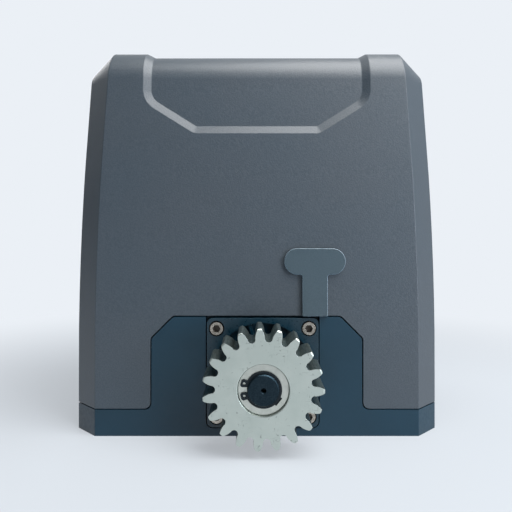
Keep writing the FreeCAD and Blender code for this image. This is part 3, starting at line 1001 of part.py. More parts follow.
def make_board():
    board = board_block(0, BOARD_Z, BOARD_TOP, 2)
    holes = [column(x, y, BOARD_Z - 1, BOARD_TOP + 1, BOARD_SCREW_R + 0.2) for x, y in board_holes()]
    save("control_board", cut(board, *holes))
    screws = [fuse(column(x, y, BOARD_TOP, BOARD_TOP + 2, 3),
                   column(x, y, BOARD_Z - 6, BOARD_TOP + 1, BOARD_SCREW_R)) for x, y in board_holes()]
    save("board_screws", *screws)

    # two terminal blocks along each side edge, their wire mouths facing outwards
    terminals = []
    length, depth = TERMINAL_POLES * TERMINAL_PITCH, TERMINAL_DEPTH
    for x, mouth_x in ((BOARD_X0 + TERMINAL_MARGIN, -1), (BOARD_X1 - TERMINAL_MARGIN - depth, depth - 5)):
        for start in (BOARD_Y0 + 18, BOARD_Y0 + 18 + length + 6):
            block = box(x, x + depth, start, start + length, BOARD_TOP, BOARD_TOP + TERMINAL_HEIGHT)
            middles = [start + (i + 0.5) * TERMINAL_PITCH for i in range(TERMINAL_POLES)]
            mouths = [box(x + mouth_x, x + mouth_x + 6, y - 1.6, y + 1.6, BOARD_TOP + 2, BOARD_TOP + 6)
                      for y in middles]
            terminals.append(cut(block, *mouths))
    save("terminal_blocks", *terminals)

    left = BOARD_X0 + TERMINAL_MARGIN + depth + 2
    right = BOARD_X1 - TERMINAL_MARGIN - depth - 2
    relays = [box(left, left + RELAY_WIDTH, y, y + RELAY_LENGTH, BOARD_TOP, BOARD_TOP + RELAY_HEIGHT)
              for y in (BOARD_Y0 + (k + 1) * RELAY_PITCH for k in range(3))]
    save("relays", *relays)

    fuse_y = BOARD_Y0 + 18
    fuse_z = BOARD_TOP + FUSE_R + 1.6
    clip_x0, clip_x1 = right - 2 * FUSE_R - 2, right
    tube = bar_y((clip_x0 + clip_x1) / 2, fuse_z, fuse_y, fuse_y + FUSE_LENGTH, FUSE_R)
    clips = [box(clip_x0, clip_x1, y, y + 3, BOARD_TOP, fuse_z + FUSE_R)
             for y in (fuse_y + 1, fuse_y + FUSE_LENGTH - 4)]
    clip_base = box(clip_x0, clip_x1, fuse_y + 1, fuse_y + FUSE_LENGTH - 1, BOARD_TOP, BOARD_TOP + 1.5)
    save("fuse_holder", fuse(tube, *clips, clip_base))
    save("filter_capacitor", column(right - FILTER_R, BOARD_Y0 + 96, BOARD_TOP, BOARD_TOP + FILTER_HEIGHT,
                                    FILTER_R))
    receiver_y = BOARD_Y1 - 24
    save("receiver_module", box(left, left + RECEIVER_LENGTH, receiver_y, receiver_y + RECEIVER_WIDTH,
                                BOARD_TOP, BOARD_TOP + RECEIVER_HEIGHT))


def make_buttons():
    """Two tact switches: square bodies on the board, and caps that travel."""
    x = BOARD_X1 - TERMINAL_MARGIN - TERMINAL_DEPTH - 2 - BUTTON_BODY / 2
    half, bodies = BUTTON_BODY / 2, []
    for i, node in enumerate(("program_button", "reset_button")):
        y = BOARD_Y0 + 52 + i * BUTTON_PITCH
        body = box(x - half, x + half, y - half, y + half, BOARD_TOP, BOARD_TOP + BUTTON_BODY_HEIGHT)
        bodies.append(body.cut(column(x, y, BOARD_TOP + 1.2, BOARD_TOP + 4, BUTTON_R + CLEAR / 2)))
        save(node, column(x, y, BOARD_TOP + 2.0, BOARD_TOP + 6.0, BUTTON_R))
    save("button_bodies", *bodies)


def make_transformer():
    x, y = TRANSFORMER_X, TRANSFORMER_Y
    low = FLOOR + 4
    high, half, deep = low + CORE_HEIGHT, CORE_WIDTH / 2, CORE_DEPTH / 2
    window_low, window_high = low + CORE_LIMB, high - CORE_LIMB
    core = box(x - half, x + half, y - deep, y + deep, low, high)
    windows = [box(*sorted((x + s * (half - CORE_LIMB), x + s * CORE_LIMB)), y - deep - 1, y + deep + 1,
                   window_low, window_high) for s in (-1, 1)]
    feet = box(x - half, x + half, y - COIL_DEPTH / 2 - 1, y + COIL_DEPTH / 2 + 1, low, low + 1.5)
    solid = fuse(cut(core, *windows), feet)
    save("transformer_core", solid)
    coil = rounded_block(x - COIL_WIDTH / 2, x + COIL_WIDTH / 2, y - COIL_DEPTH / 2, y + COIL_DEPTH / 2,
                         window_low + 0.5, window_high - 0.5, 4)
    save("transformer_coil", coil.cut(solid))


def make_cover_screws():
    screws = []
    for side in (-1, 1):
        lip_face = BASE_WIDTH / 2 - COVER_WALL / 2 - 0.2 + 0.15
        head_x = sorted((side * lip_face, side * (lip_face + SIDE_HEAD)))
        shank_x = sorted((side * lip_face + side * 0.5, side * (BASE_WIDTH / 2 - 13)))
        screws.append(fuse(bar_x(SIDE_SCREW_Y, SIDE_SCREW_Z, *head_x, SIDE_HEAD_R),
                           bar_x(SIDE_SCREW_Y, SIDE_SCREW_Z, *shank_x, SIDE_SCREW_R)))
    save("cover_screws", *screws)


# ---- manual release -----------------------------------------------------------------------------
def make_release():
    # the cam's radius grows evenly over the quarter turn that comes to face the rod
    steps = 8
    rise = CAM_TRAVEL / (math.pi / 2)
    spiral = []
    for i in range(-1, steps + 3):
        angle = i * (math.pi / 2) / steps
        radius = CAM_R + rise * max(angle, 0)
        direction = -math.pi / 2 - angle
        spiral.append(V(radius * math.cos(direction), radius * math.sin(direction), 0))
    half = LEVER_HEIGHT / 2
    curve = Part.BSplineCurve()
    curve.interpolate(spiral)
    inner_face = 1 - LEVER_FRONT
    closing = [V(x, y, 0) for x, y in ((-CAM_R, LEVER_BACK), (LEVER_LENGTH, LEVER_BACK),
                                       (LEVER_LENGTH, inner_face), (CAM_R, inner_face))]
    edges = [curve.toShape()]
    chain = [spiral[-1]] + closing + [spiral[0]]
    for start, end in zip(chain, chain[1:]):
        edges.append(Part.LineSegment(start, end).toShape())
    blade = Part.Face(Part.Wire(edges)).extrude(V(0, 0, LEVER_HEIGHT))
    blade.translate(V(AXIS_X, PIVOT_Y, AXIS_Z - half))
    pin_bore = column(AXIS_X, PIVOT_Y, AXIS_Z - half - 1, AXIS_Z + half + 1, RELEASE_PIN_R + RUNNING)
    lock_x = AXIS_X + LOCK_AT
    lock_bore = bar_y(lock_x, AXIS_Z, REAR - LEVER_POCKET, REAR + 10, LOCK_R + RUNNING)
    save("release_lever", cut(blade, pin_bore, lock_bore))
    save("lever_pin", column(AXIS_X, PIVOT_Y, AXIS_Z - half - 7, AXIS_Z + half + 7, RELEASE_PIN_R))

    rod = on_shaft(SHAFT_REAR - 14, ROD_TIP - 2, RELEASE_ROD_R)
    tip = Part.makeCone(RELEASE_ROD_R, RELEASE_ROD_R - 3, 2, V(AXIS_X, ROD_TIP - 2, AXIS_Z), Y_AXIS)
    save("release_rod", fuse(rod, tip))

    barrel_back, barrel_front = PIVOT_Y - LEVER_FRONT, PIVOT_Y + LEVER_BACK + 1.5
    barrel = bar_y(lock_x, AXIS_Z, barrel_back, barrel_front, LOCK_R)
    tongue = box(lock_x - TONGUE_HALF, lock_x + TONGUE_REACH, barrel_back - 2, barrel_back + 0.5,
                 AXIS_Z - TONGUE_HALF, AXIS_Z + TONGUE_HALF)
    slot = box(lock_x - 3.2, lock_x + 3.2, barrel_front - 4, barrel_front + 1, AXIS_Z - 0.6, AXIS_Z + 0.6)
    save("lock_barrel", fuse(barrel, tongue).cut(slot))


make_cover()
make_base()
make_flange()
make_bearings()
make_pinion()
make_shaft()
make_retainers()
make_wheel()
make_worm()
make_lid()
make_motor()
make_capacitor()
make_sensor()
make_grommet()
make_tray()
make_board()
make_buttons()
make_transformer()
make_cover_screws()
make_release()
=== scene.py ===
"""Looks of a sliding gate motor.

It has a moulded cover, a painted base casting and a zinc-plated rack pinion, with the works inside.
"""
import json
import math

import bpy
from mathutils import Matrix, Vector


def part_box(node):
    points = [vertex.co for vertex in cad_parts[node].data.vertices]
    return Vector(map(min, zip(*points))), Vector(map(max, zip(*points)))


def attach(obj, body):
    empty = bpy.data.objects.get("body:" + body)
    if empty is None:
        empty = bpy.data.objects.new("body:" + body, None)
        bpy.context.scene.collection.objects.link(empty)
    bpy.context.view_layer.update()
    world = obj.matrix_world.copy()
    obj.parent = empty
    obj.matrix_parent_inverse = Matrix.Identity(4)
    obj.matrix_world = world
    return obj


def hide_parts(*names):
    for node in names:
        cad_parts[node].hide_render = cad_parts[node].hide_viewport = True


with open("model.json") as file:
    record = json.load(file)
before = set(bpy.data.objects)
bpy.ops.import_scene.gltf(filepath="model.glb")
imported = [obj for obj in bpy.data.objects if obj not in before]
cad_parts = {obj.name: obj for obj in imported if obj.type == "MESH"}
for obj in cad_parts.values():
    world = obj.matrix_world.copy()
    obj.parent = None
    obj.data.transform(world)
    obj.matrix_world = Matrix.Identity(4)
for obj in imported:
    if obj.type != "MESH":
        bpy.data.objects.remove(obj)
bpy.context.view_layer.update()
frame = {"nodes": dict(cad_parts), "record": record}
MM = 0.001

# ---- camera: level, straight at the pinion side, with the horizon above the picture's middle -----
SENSOR_MM, LENS_MM = 36.0, 38.9
CAMERA_PLACE = (-0.0006, -0.5200, 0.1574)
HORIZON_SHIFT = -0.0533     # lowers the view without tilting it, so that upright edges stay upright
NEAR_CLIP = 0.02

camera_data = bpy.data.cameras.new("front camera")
camera_data.sensor_width, camera_data.lens = SENSOR_MM, LENS_MM
camera_data.shift_y, camera_data.clip_start = HORIZON_SHIFT, NEAR_CLIP
camera = bpy.data.objects.new("front camera", camera_data)
camera.location = CAMERA_PLACE
camera.rotation_euler = (math.radians(90), 0, 0)
bpy.context.scene.collection.objects.link(camera)
bpy.context.scene.camera = camera
bpy.context.scene.view_settings.view_transform = "Standard"


# ---- small helpers -------------------------------------------------------------------------------
FACTOR, FIRST, SECOND, MIXED = 0, 6, 7, 2   # sockets of a Mix node that mixes two colours
NOISE_LOW, NOISE_HIGH = 0.3, 0.7            # nearly all of a noise lies between these two values


def srgb(code):
    """A colour written as six sRGB hex digits, in the linear values that shaders take."""
    shares = [int(code[i:i + 2], 16) / 255 for i in (0, 2, 4)]
    return [s / 12.92 if s <= 0.04045 else ((s + 0.055) / 1.055) ** 2.4 for s in shares] + [1.0]


def dimmed(code, steps):
    """A colour code with each of its three values lower by some steps of 255."""
    return "".join("%02x" % max(int(code[i:i + 2], 16) - steps, 0) for i in (0, 2, 4))


def feed(node, inputs):
    """Give each of a node's inputs a value, or link it to another node's output."""
    for socket, value in inputs.items():
        if isinstance(value, bpy.types.NodeSocket):
            node.id_data.links.new(value, node.inputs[socket])
        else:
            node.inputs[socket].default_value = value


def add(tree, kind, inputs=None, **settings):
    """One node with its settings and its inputs."""
    node = tree.nodes.new("ShaderNode" + kind)
    for name, value in settings.items():
        setattr(node, name, value)
    feed(node, inputs or {})
    return node


def surface(name, **inputs):
    """A new material; returns it with its node tree, its shader and the piece's own coordinates."""
    material = bpy.data.materials.new(name)
    material.use_nodes = True
    tree = material.node_tree
    shader = tree.nodes["Principled BSDF"]
    feed(shader, inputs)
    return material, tree, shader, add(tree, "TexCoord").outputs["Object"]


def grain(tree, place, size_mm, detail=2.0, squeeze=(1, 1, 1)):
    """A noise whose blotches are about size_mm across, and that many times shorter along each axis."""
    squeezed = add(tree, "Mapping", {"Vector": place, "Scale": squeeze}).outputs["Vector"]
    noise = add(tree, "TexNoise", {"Vector": squeezed, "Scale": 1 / (size_mm * MM), "Detail": detail})
    return noise.outputs["Fac"]


def coloured(tree, pattern, dark, light, start=0.35, end=0.65):
    """A colour that runs from dark to light as a pattern runs from start to end."""
    share = add(tree, "MapRange", {"Value": pattern, "From Min": start, "From Max": end})
    blend = add(tree, "Mix", {FACTOR: share.outputs["Result"], FIRST: srgb(dark), SECOND: srgb(light)},
                data_type="RGBA")
    return blend.outputs[MIXED]


def textured(tree, shader, gloss, sheen, relief, depth_mm):
    """One pattern drives the roughness between the two values of sheen, and one gives relief of a depth."""
    rough = add(tree, "MapRange", {"Value": gloss, "From Min": NOISE_LOW, "From Max": NOISE_HIGH,
                                   "To Min": sheen[0], "To Max": sheen[1]})
    bumps = add(tree, "Bump", {"Height": relief, "Distance": depth_mm * MM, "Strength": 1.0})
    feed(shader, {"Roughness": rough.outputs["Result"], "Normal": bumps.outputs["Normal"]})


# ---- materials -----------------------------------------------------------------------------------
def moulded_abs():
    """Spark-eroded ABS: a matt grain that breaks the sheen up into small specks.

    The real grain is a few tenths of a millimetre across, and is drawn as coarse as it needs to show.
    """
    material, tree, shader, place = surface("moulded ABS, spark-eroded grain", IOR=1.54)
    fine = grain(tree, place, 1.1)
    broad = grain(tree, place, 90, 1.0)
    drift = add(tree, "MapRange", {"Value": broad, "From Min": NOISE_LOW, "From Max": NOISE_HIGH})
    plastic = add(tree, "Mix", {FACTOR: drift.outputs["Result"],
                                FIRST: coloured(tree, fine, "313a41", "3b4349"),
                                SECOND: coloured(tree, fine, "343b41", "3e4449")}, data_type="RGBA")
    feed(shader, {"Base Color": plastic.outputs[MIXED]})
    textured(tree, shader, fine, (0.40, 0.50), fine, 0.09)
    return material


def painted_casting():
    """Polyester powder coat on die-cast aluminium: soft orange peel, with dust specks caught in it."""
    cell_mm, speck_radius, cells_with_dust = 9, 0.045, 0.10     # the radius is a share of its cell
    material, tree, shader, place = surface("powder-coated die-cast aluminium", IOR=1.45)
    peel = grain(tree, place, 2.6, 1.5)
    paint = coloured(tree, grain(tree, place, 45), "032735", "052b3a")
    cells = add(tree, "TexVoronoi", {"Vector": place, "Scale": 1 / (cell_mm * MM)})
    speck = add(tree, "Math", {0: cells.outputs["Distance"], 1: speck_radius}, operation="LESS_THAN")
    draw = add(tree, "SeparateColor", {"Color": cells.outputs["Color"]})
    rare = add(tree, "Math", {0: draw.outputs["Red"], 1: cells_with_dust}, operation="LESS_THAN")
    dust = add(tree, "Math", {0: speck.outputs[0], 1: rare.outputs[0]}, operation="MULTIPLY")
    dusty = add(tree, "Mix", {FACTOR: dust.outputs[0], FIRST: paint, SECOND: srgb("8fa3ad")},
                data_type="RGBA")
    feed(shader, {"Base Color": dusty.outputs[MIXED]})
    textured(tree, shader, peel, (0.36, 0.48), peel, 0.05)
    return material


def zinc_plate(name, light, dark, sheen=(0.5, 0.34), blotch_mm=7.0):
    """Blue-passivated zinc on steel: satin, cloudy, with scratches where it was handled and dark specks.

    The relief is the plating's crystals, which are drawn as coarse as they need to show.
    """
    material, tree, shader, place = surface(name, Metallic=1.0)
    cloud = grain(tree, place, blotch_mm, 5.0)
    crystals = grain(tree, place, 0.9, 3.0)
    plating = coloured(tree, cloud, dark, light, 0.3, 0.62)
    handled = add(tree, "MapRange", {"Value": grain(tree, place, 11.0, 1.0),
                                     "From Min": 0.52, "From Max": 0.66})
    for squeeze in ((1.0, 1.0, 7.0), (6.0, 1.0, 1.3)):      # level scratches, then nearly upright ones
        lines = add(tree, "MapRange", {"Value": grain(tree, place, 5.5, squeeze=squeeze),
                                       "From Min": 0.62, "From Max": 0.74, "To Max": 0.5})
        scratched = add(tree, "Math", {0: handled.outputs["Result"], 1: lines.outputs["Result"]},
                        operation="MULTIPLY")
        plating = add(tree, "Mix", {FACTOR: scratched.outputs[0], FIRST: plating,
                                    SECOND: srgb("6d7875")}, data_type="RGBA").outputs[MIXED]
    specks = add(tree, "MapRange", {"Value": grain(tree, place, 1.8, 0.0),
                                    "From Min": 0.79, "From Max": 0.84, "To Max": 0.4})
    speckled = add(tree, "Mix", {FACTOR: specks.outputs["Result"], FIRST: plating,
                                 SECOND: srgb("4d5654")}, data_type="RGBA")
    feed(shader, {"Base Color": speckled.outputs[MIXED]})
    textured(tree, shader, cloud, sheen, crystals, 0.02)
    return material


def hobbed_steel_with_painted_shade():
    """Hobbed tooth flanks with painted shade: a darker tone than the turned faces stands in for the shade
    on flanks that face sideways, and they are streaked along the cutter's path.

    The cutter's real marks are finer than a millimetre, and are drawn as coarse as they need to show.
    """
    material, tree, shader, place = surface("hobbed zinc-plated flanks with painted shade", Metallic=1.0)
    streaks = grain(tree, place, 1.6, 3.0, squeeze=(1.0, 0.16, 1.0))
    # the darker tone is painted shade; the streaks are the cutter's marks
    feed(shader, {"Base Color": coloured(tree, streaks, "5c6967", "9aa6a3", NOISE_LOW, NOISE_HIGH)})
    textured(tree, shader, streaks, (0.50, 0.32), streaks, 0.06)
    return material


SHINIER, DULLER = 0.05, 0.08    # how far a plain finish's roughness strays from its middle value


def bare_metal(name, colour, roughness, grain_mm=0.8, depth_mm=0.02, variation=12):
    """Machined, ground or cast metal: an even tone with faint marks.

    Real tool marks are about a tenth of a millimetre apart, and are drawn as coarse as they need to show.
    """
    material, tree, shader, place = surface(name, Metallic=1.0)
    marks = grain(tree, place, grain_mm, 4.0)
    feed(shader, {"Base Color": coloured(tree, marks, dimmed(colour, variation), colour)})
    textured(tree, shader, marks, (roughness + DULLER, roughness - SHINIER), marks, depth_mm)
    return material


def plain_plastic(name, colour, roughness, grain_mm=1.0, depth_mm=0.02, variation=8):
    """Moulded plastic, rubber or paint: nearly even, with the tool's grain drawn coarse enough to show."""
    material, tree, shader, place = surface(name, IOR=1.5)
    fine = grain(tree, place, grain_mm, 3.0)
    feed(shader, {"Base Color": coloured(tree, fine, dimmed(colour, variation), colour)})
    textured(tree, shader, fine, (roughness - SHINIER, roughness + DULLER), fine, depth_mm)
    return material


def banded(name, light, dark, pitch_mm, axis, metallic, roughness, depth_mm):
    """Even bands along one axis: stacked sheet steel or the turns of a winding.

    Real sheets and wires are 0.5 to 1 mm thick, and are drawn as coarse as they need to show.
    """
    wave_repeat = 0.314     # a wave texture of scale 1 repeats after this length
    material, tree, shader, place = surface(name, Metallic=metallic, Roughness=roughness)
    bands = add(tree, "TexWave", {"Vector": place, "Scale": wave_repeat / (pitch_mm * MM),
                                  "Distortion": 0.0},
                bands_direction=axis, wave_profile="SIN").outputs["Fac"]
    lines = add(tree, "Mix", {FACTOR: bands, FIRST: srgb(dark), SECOND: srgb(light)}, data_type="RGBA")
    stain = add(tree, "MapRange", {"Value": grain(tree, place, 3.0, 3.0), "From Min": NOISE_LOW,
                                   "From Max": NOISE_HIGH, "To Max": 0.3})
    stained = add(tree, "Mix", {FACTOR: stain.outputs["Result"], FIRST: lines.outputs[MIXED],
                                SECOND: srgb(dark)}, data_type="RGBA")
    bumps = add(tree, "Bump", {"Height": bands, "Distance": depth_mm * MM, "Strength": 1.0})
    feed(shader, {"Base Color": stained.outputs[MIXED], "Normal": bumps.outputs["Normal"]})
    return material


def circuit_board():
    """Glass-epoxy laminate under green solder resist, with the copper tracks showing as a paler green.

    Real tracks lie about a millimetre apart, and are drawn as coarse as they need to show.
    """
    brick_mm = 12
    material, tree, shader, place = surface("solder-resisted glass-epoxy board", Roughness=0.28, IOR=1.5)
    tracks = add(tree, "TexBrick", {"Vector": place, "Scale": 1 / (brick_mm * MM), "Mortar Size": 0.03,
                                    "Brick Width": 0.9, "Row Height": 0.22, "Color1": srgb("1d5739"),
                                    "Color2": srgb("225f40"), "Mortar": srgb("3d8a5c")})
    bumps = add(tree, "Bump", {"Height": tracks.outputs["Fac"], "Distance": 0.03 * MM, "Strength": 1.0})
    feed(shader, {"Base Color": tracks.outputs["Color"], "Normal": bumps.outputs["Normal"]})
    return material


# The comment over each material says what it gives the eye.
MATERIALS = {
    # a dark blue-grey shell, matt, with a fine even sparkle
    "cover_plastic": moulded_abs(),
    # a little lighter and smoother than the cover round it
    "plug_plastic": plain_plastic("moulded ABS plug, finer grain", "3c494f", 0.34, 1.0, 0.03, 5),
    # deep petrol blue with a soft gloss that ripples slightly
    "base_paint": painted_casting(),
    # the base's blue, glossier, so that the flange stands out from the shield
    "flange_casting": plain_plastic("powder-coated flange casting", "062733", 0.30, 2.2, 0.05, 4),
    # pale grey metal, dull and a little rough
    "gearbox_aluminium": bare_metal("die-cast aluminium, as cast", "a9adaf", 0.58, 1.6, 0.04, 14),
    # pale, faintly green silver, cloudy and satin: the brightest thing on the motor
    "zinc_steel": zinc_plate("zinc-plated gear steel", "c1cac4", "b7c1bb", blotch_mm=16.0),
    # the same silver, shinier and with smaller clouds, so that the washer shows against the gear
    "washer_steel": zinc_plate("zinc-plated washer", "c6cac3", "bbc0b9", (0.42, 0.3), 4.0),
    # blue-black steel with a dull gleam
    "shaft_steel": bare_metal("blackened shaft steel", "2b3840", 0.42),
    # dark grey steel, duller than the shaft
    "black_steel": bare_metal("phosphated spring steel", "31373b", 0.46, variation=6),
    # warm silver, shiny and mottled: all screws, pins, spacers and small brackets
    "screw_steel": bare_metal("yellowed zinc on screws", "bcb6ad", 0.26, variation=56),
    # bright, smooth steel rings
    "bearing_steel": bare_metal("ground bearing steel", "c8cbcd", 0.22, 0.6, 0.005, 16),
    # golden brown metal, slightly rough, which sets the worm wheel off from the steel
    "bronze": bare_metal("cast tin bronze", "c08c4a", 0.34, 1.5, 0.03, 24),
    # soft black that hardly shines
    "rubber_black": plain_plastic("nitrile rubber", "1f2123", 0.62, 1.5, 0.03, 4),
    # dry, dark grey-green card
    "gasket_fibre": plain_plastic("pressed gasket fibre", "3f4441", 0.8, 0.7, 0.04, 16),
    # thin level lines of grey steel
    "lamination_steel": banded("stacked sheet steel", "8d9194", "54585b", 1.3, "Z", 1.0, 0.45, 0.05),
    # rows of shiny red-brown wire
    "winding_copper": banded("enamelled copper wire", "b56a33", "6c3516", 1.6, "X", 0.85, 0.32, 0.25),
    # shiny green with paler tracks
    "board_green": circuit_board(),
    # near-black cases, shinier than rubber
    "component_black": plain_plastic("black moulded component case", "222427", 0.42, 0.9, 0.02, 5),
    # bright green blocks that mark where wires go
    "terminal_green": plain_plastic("polyamide terminal block", "2f8552", 0.4),
    # smooth blue boxes
    "relay_blue": plain_plastic("polyester relay case", "2d5f97", 0.35, variation=6),
    # smooth cream
    "fuse_glass": plain_plastic("moulded fuse holder", "d9d5c6", 0.35),
    # dark grey with a coarse, dull grain
    "tray_plastic": plain_plastic("glass-filled polyamide tray", "3a3f43", 0.5, 1.4, 0.04),
    # a red dot on the board
    "button_red": plain_plastic("red acetal button", "b23329", 0.35, 0.8, 0.01),
    # a white dot on the board
    "button_white": plain_plastic("white acetal button", "dbdbd6", 0.35, 0.8, 0.01),
    # smooth off-white can
    "capacitor_white": plain_plastic("polypropylene capacitor can", "dededa", 0.34, 1.2, 0.01, 6),
    # near-black with a slight grain, darker than the base round it
    "lever_plastic": plain_plastic("glass-filled nylon lever", "2b2f31", 0.46, 1.1, 0.04, 6),
}
SHADED_HOBBED_FLANKS = hobbed_steel_with_painted_shade()
# painted highlight: a thin pale line round the plug, where its edge catches the light
PLUG_EDGE_HIGHLIGHT = plain_plastic("moulded ABS, painted highlight along the edge", "7a8992", 0.26, 1.0, 0.01)
# painted highlight: a thin blue-grey line round the flange, where its edge catches the light
FLANGE_EDGE_HIGHLIGHT = plain_plastic("powder coat, painted highlight along the edge", "4f6f7e", 0.24, 1.5, 0.01, 10)
# painted shade: a dark hexagon in each screw head, where shade falls inside the socket
SOCKET_PAINTED_SHADE = bare_metal("hexagon socket, painted shade", "5e5853", 0.5, variation=16)


# ---- pieces that stay as they are get their finish from their slot -------------------------------
slots = {part["node"]: part["material_slot"] for part in frame["record"]["subparts"]}
body_of = {node: body for body, nodes in frame["record"]["behaviour"]["bodies"].items() for node in nodes}


def paint(piece, slot):
    """Give a piece its slot's material, and no other."""
    piece.data.materials.clear()
    piece.data.materials.append(MATERIALS[slot])


for node, piece in frame["nodes"].items():
    paint(piece, slots[node])


# ---- finished copies of the pieces whose edges show ----------------------------------------------
MERGED_MM = 0.002           # points nearer to each other than this are one
FLAT_DEGREES = 0.6          # faces that meet at less than this are one
SMALL_ROUND_MM = 0.2        # a broken edge on a machined or small moulded piece


def lone(piece):
    """Make a piece the only one selected, and the active one."""
    bpy.ops.object.select_all(action="DESELECT")
    piece.select_set(True)
    bpy.context.view_layer.objects.active = piece


def weigh_edges(piece, sharp, wide, other_share):
    """Give each sharp edge a share of the bevel's width: all of it where wide says so, else other_share."""
    bpy.ops.object.mode_set(mode="EDIT")
    bpy.ops.mesh.select_all(action="DESELECT")
    bpy.ops.mesh.select_mode(type="EDGE")
    bpy.ops.mesh.edges_select_sharp(sharpness=math.radians(sharp))
    bpy.ops.object.mode_set(mode="OBJECT")
    points = piece.data.vertices
    weights = piece.data.attributes.new("bevel_weight_edge", "FLOAT", "EDGE")
    for edge in piece.data.edges:
        if edge.select:
            middle = (points[edge.vertices[0]].co + points[edge.vertices[1]].co) / 2
            weights.data[edge.index].value = 1.0 if wide(middle) else other_share


def finished(node, name, round_mm, segments=2, sharp=40, smooth=32, wide=None, wide_mm=1.0):
    """A finished copy of a CAD node: points merged, flat faces joined up, and its edges softened.

    Edges that turn by more than sharp degrees get a bevel round_mm wide, and those that wide picks by
    their middle get wide_mm. Faces that meet at less than smooth degrees are shaded as one.
    """
    piece = bpy.data.objects.new(name, frame["nodes"][node].data.copy())
    bpy.context.scene.collection.objects.link(piece)
    lone(piece)
    bpy.ops.object.mode_set(mode="EDIT")
    bpy.ops.mesh.select_all(action="SELECT")
    bpy.ops.mesh.remove_doubles(threshold=MERGED_MM * MM)
    bpy.ops.mesh.dissolve_limited(angle_limit=math.radians(FLAT_DEGREES))
    bpy.ops.object.mode_set(mode="OBJECT")
    if piece.data.has_custom_normals:
        bpy.ops.mesh.customdata_custom_splitnormals_clear()
    soft = piece.modifiers.new("softened edges", "BEVEL")
    soft.width, soft.segments = round_mm * MM, segments
    soft.limit_method, soft.angle_limit = "ANGLE", math.radians(sharp)
    if wide:
        weigh_edges(piece, sharp, wide, round_mm / wide_mm)
        soft.limit_method, soft.width = "WEIGHT", wide_mm * MM
    bpy.ops.object.modifier_apply(modifier=soft.name)
    bpy.ops.object.shade_smooth_by_angle(angle=math.radians(smooth))
    level = piece.modifiers.new("level flats", "WEIGHTED_NORMAL")
    level.keep_sharp = True
    bpy.ops.object.modifier_apply(modifier=level.name)
    paint(piece, slots[node])
    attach(piece, body_of[node])
    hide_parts(node)
    return piece


def second_finish(piece, material, chosen):
    """Give the faces that are chosen by their middle and normal another material."""
    piece.data.materials.append(material)
    for face in piece.data.polygons:
        if chosen(face.center, face.normal):
            face.material_index = len(piece.data.materials) - 1


def on_softened_front(middle, normal):
    """True for the softened edge round a front face: it looks partly forward and partly sideways."""
    most_forward, least_forward = -0.93, -0.2
    return most_forward < normal.y < least_forward


# The panel's wall on the cover meets its surroundings at 27 degrees, so its edges count as sharp from 18.
finished("cover_shell", "cover_moulding", 0.8, 3, sharp=18, smooth=18)
finished("base_housing", "base_casting", 0.6)
plug = finished("slot_plug", "slot_plug_moulding", 1.2, 3)
# the plug's softened front edge gets a painted highlight
second_finish(plug, PLUG_EDGE_HIGHLIGHT, on_softened_front)

flange = finished("gearbox_flange", "flange_casting", 0.9, 3)
flange_low, flange_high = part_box("gearbox_flange")
FLANGE_X, FLANGE_Z = (flange_low[0] + flange_high[0]) / 2, (flange_low[2] + flange_high[2]) / 2
HALF_X, HALF_Z = (flange_high[0] - flange_low[0]) / 2, (flange_high[2] - flange_low[2]) / 2
RIM, CORNER_CUT = 1.6 * MM, 6 * MM


def on_flange_rim(middle, normal):
    """True for the softened edge that runs round the front of the flange."""
    across, up = abs(middle.x - FLANGE_X), abs(middle.z - FLANGE_Z)
    outside = (across > HALF_X - RIM or up > HALF_Z - RIM
               or across + up > HALF_X + HALF_Z - CORNER_CUT)
    return outside and on_softened_front(middle, normal)


# the flange's softened front rim gets a painted highlight
second_finish(flange, FLANGE_EDGE_HIGHLIGHT, on_flange_rim)

pinion_low, pinion_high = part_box("pinion")
AXIS_X, AXIS_Z = (pinion_low[0] + pinion_high[0]) / 2, (pinion_low[2] + pinion_high[2]) / 2
PINION_FACE = pinion_low[1]
ROOT_RADIUS, WASHER_SEAT = 31 * MM, 17.7 * MM


def off_axis(point):
    """Distance from the pinion's axis."""
    return math.hypot(point.x - AXIS_X, point.z - AXIS_Z)


def at_counterbore(middle):
    """True for the edge of the counterbore that the washer lies in, which has a wider chamfer."""
    return abs(off_axis(middle) - WASHER_SEAT) < 0.5 * MM and middle.y < PINION_FACE + 0.5 * MM


def on_flanks(middle, normal):
    """True for the toothing, from the roots out, and not for the pinion's two flat faces."""
    faces_sideways = abs(normal.y) < 0.4
    return faces_sideways and off_axis(middle) > ROOT_RADIUS


pinion = finished("pinion", "drive_pinion", 0.35, wide=at_counterbore)
# The flanks get the hobbed finish with painted shade.
second_finish(pinion, SHADED_HOBBED_FLANKS, on_flanks)

screws = finished("flange_screws", "flange_socket_screws", 0.3)
screws_low, screws_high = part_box("flange_screws")
SCREWS_X, SCREWS_Z = (screws_low[0] + screws_high[0]) / 2, (screws_low[2] + screws_high[2]) / 2
HEAD_FACE = min(vertex.co.y for vertex in screws.data.vertices)
HEAD_RADIUS, SOCKET_RADIUS, SOCKET_EDGE = 5 * MM, 2.95 * MM, 0.35 * MM


def in_socket(middle, normal):
    """True for the walls and floor of a screw's hexagon."""
    axis_x = screws_low[0] + HEAD_RADIUS if middle.x < SCREWS_X else screws_high[0] - HEAD_RADIUS
    axis_z = screws_low[2] + HEAD_RADIUS if middle.z < SCREWS_Z else screws_high[2] - HEAD_RADIUS
    return (middle.y > HEAD_FACE + SOCKET_EDGE
            and math.hypot(middle.x - axis_x, middle.z - axis_z) < SOCKET_RADIUS)


# The hexagons in the screw heads get painted shade.
second_finish(screws, SOCKET_PAINTED_SHADE, in_socket)

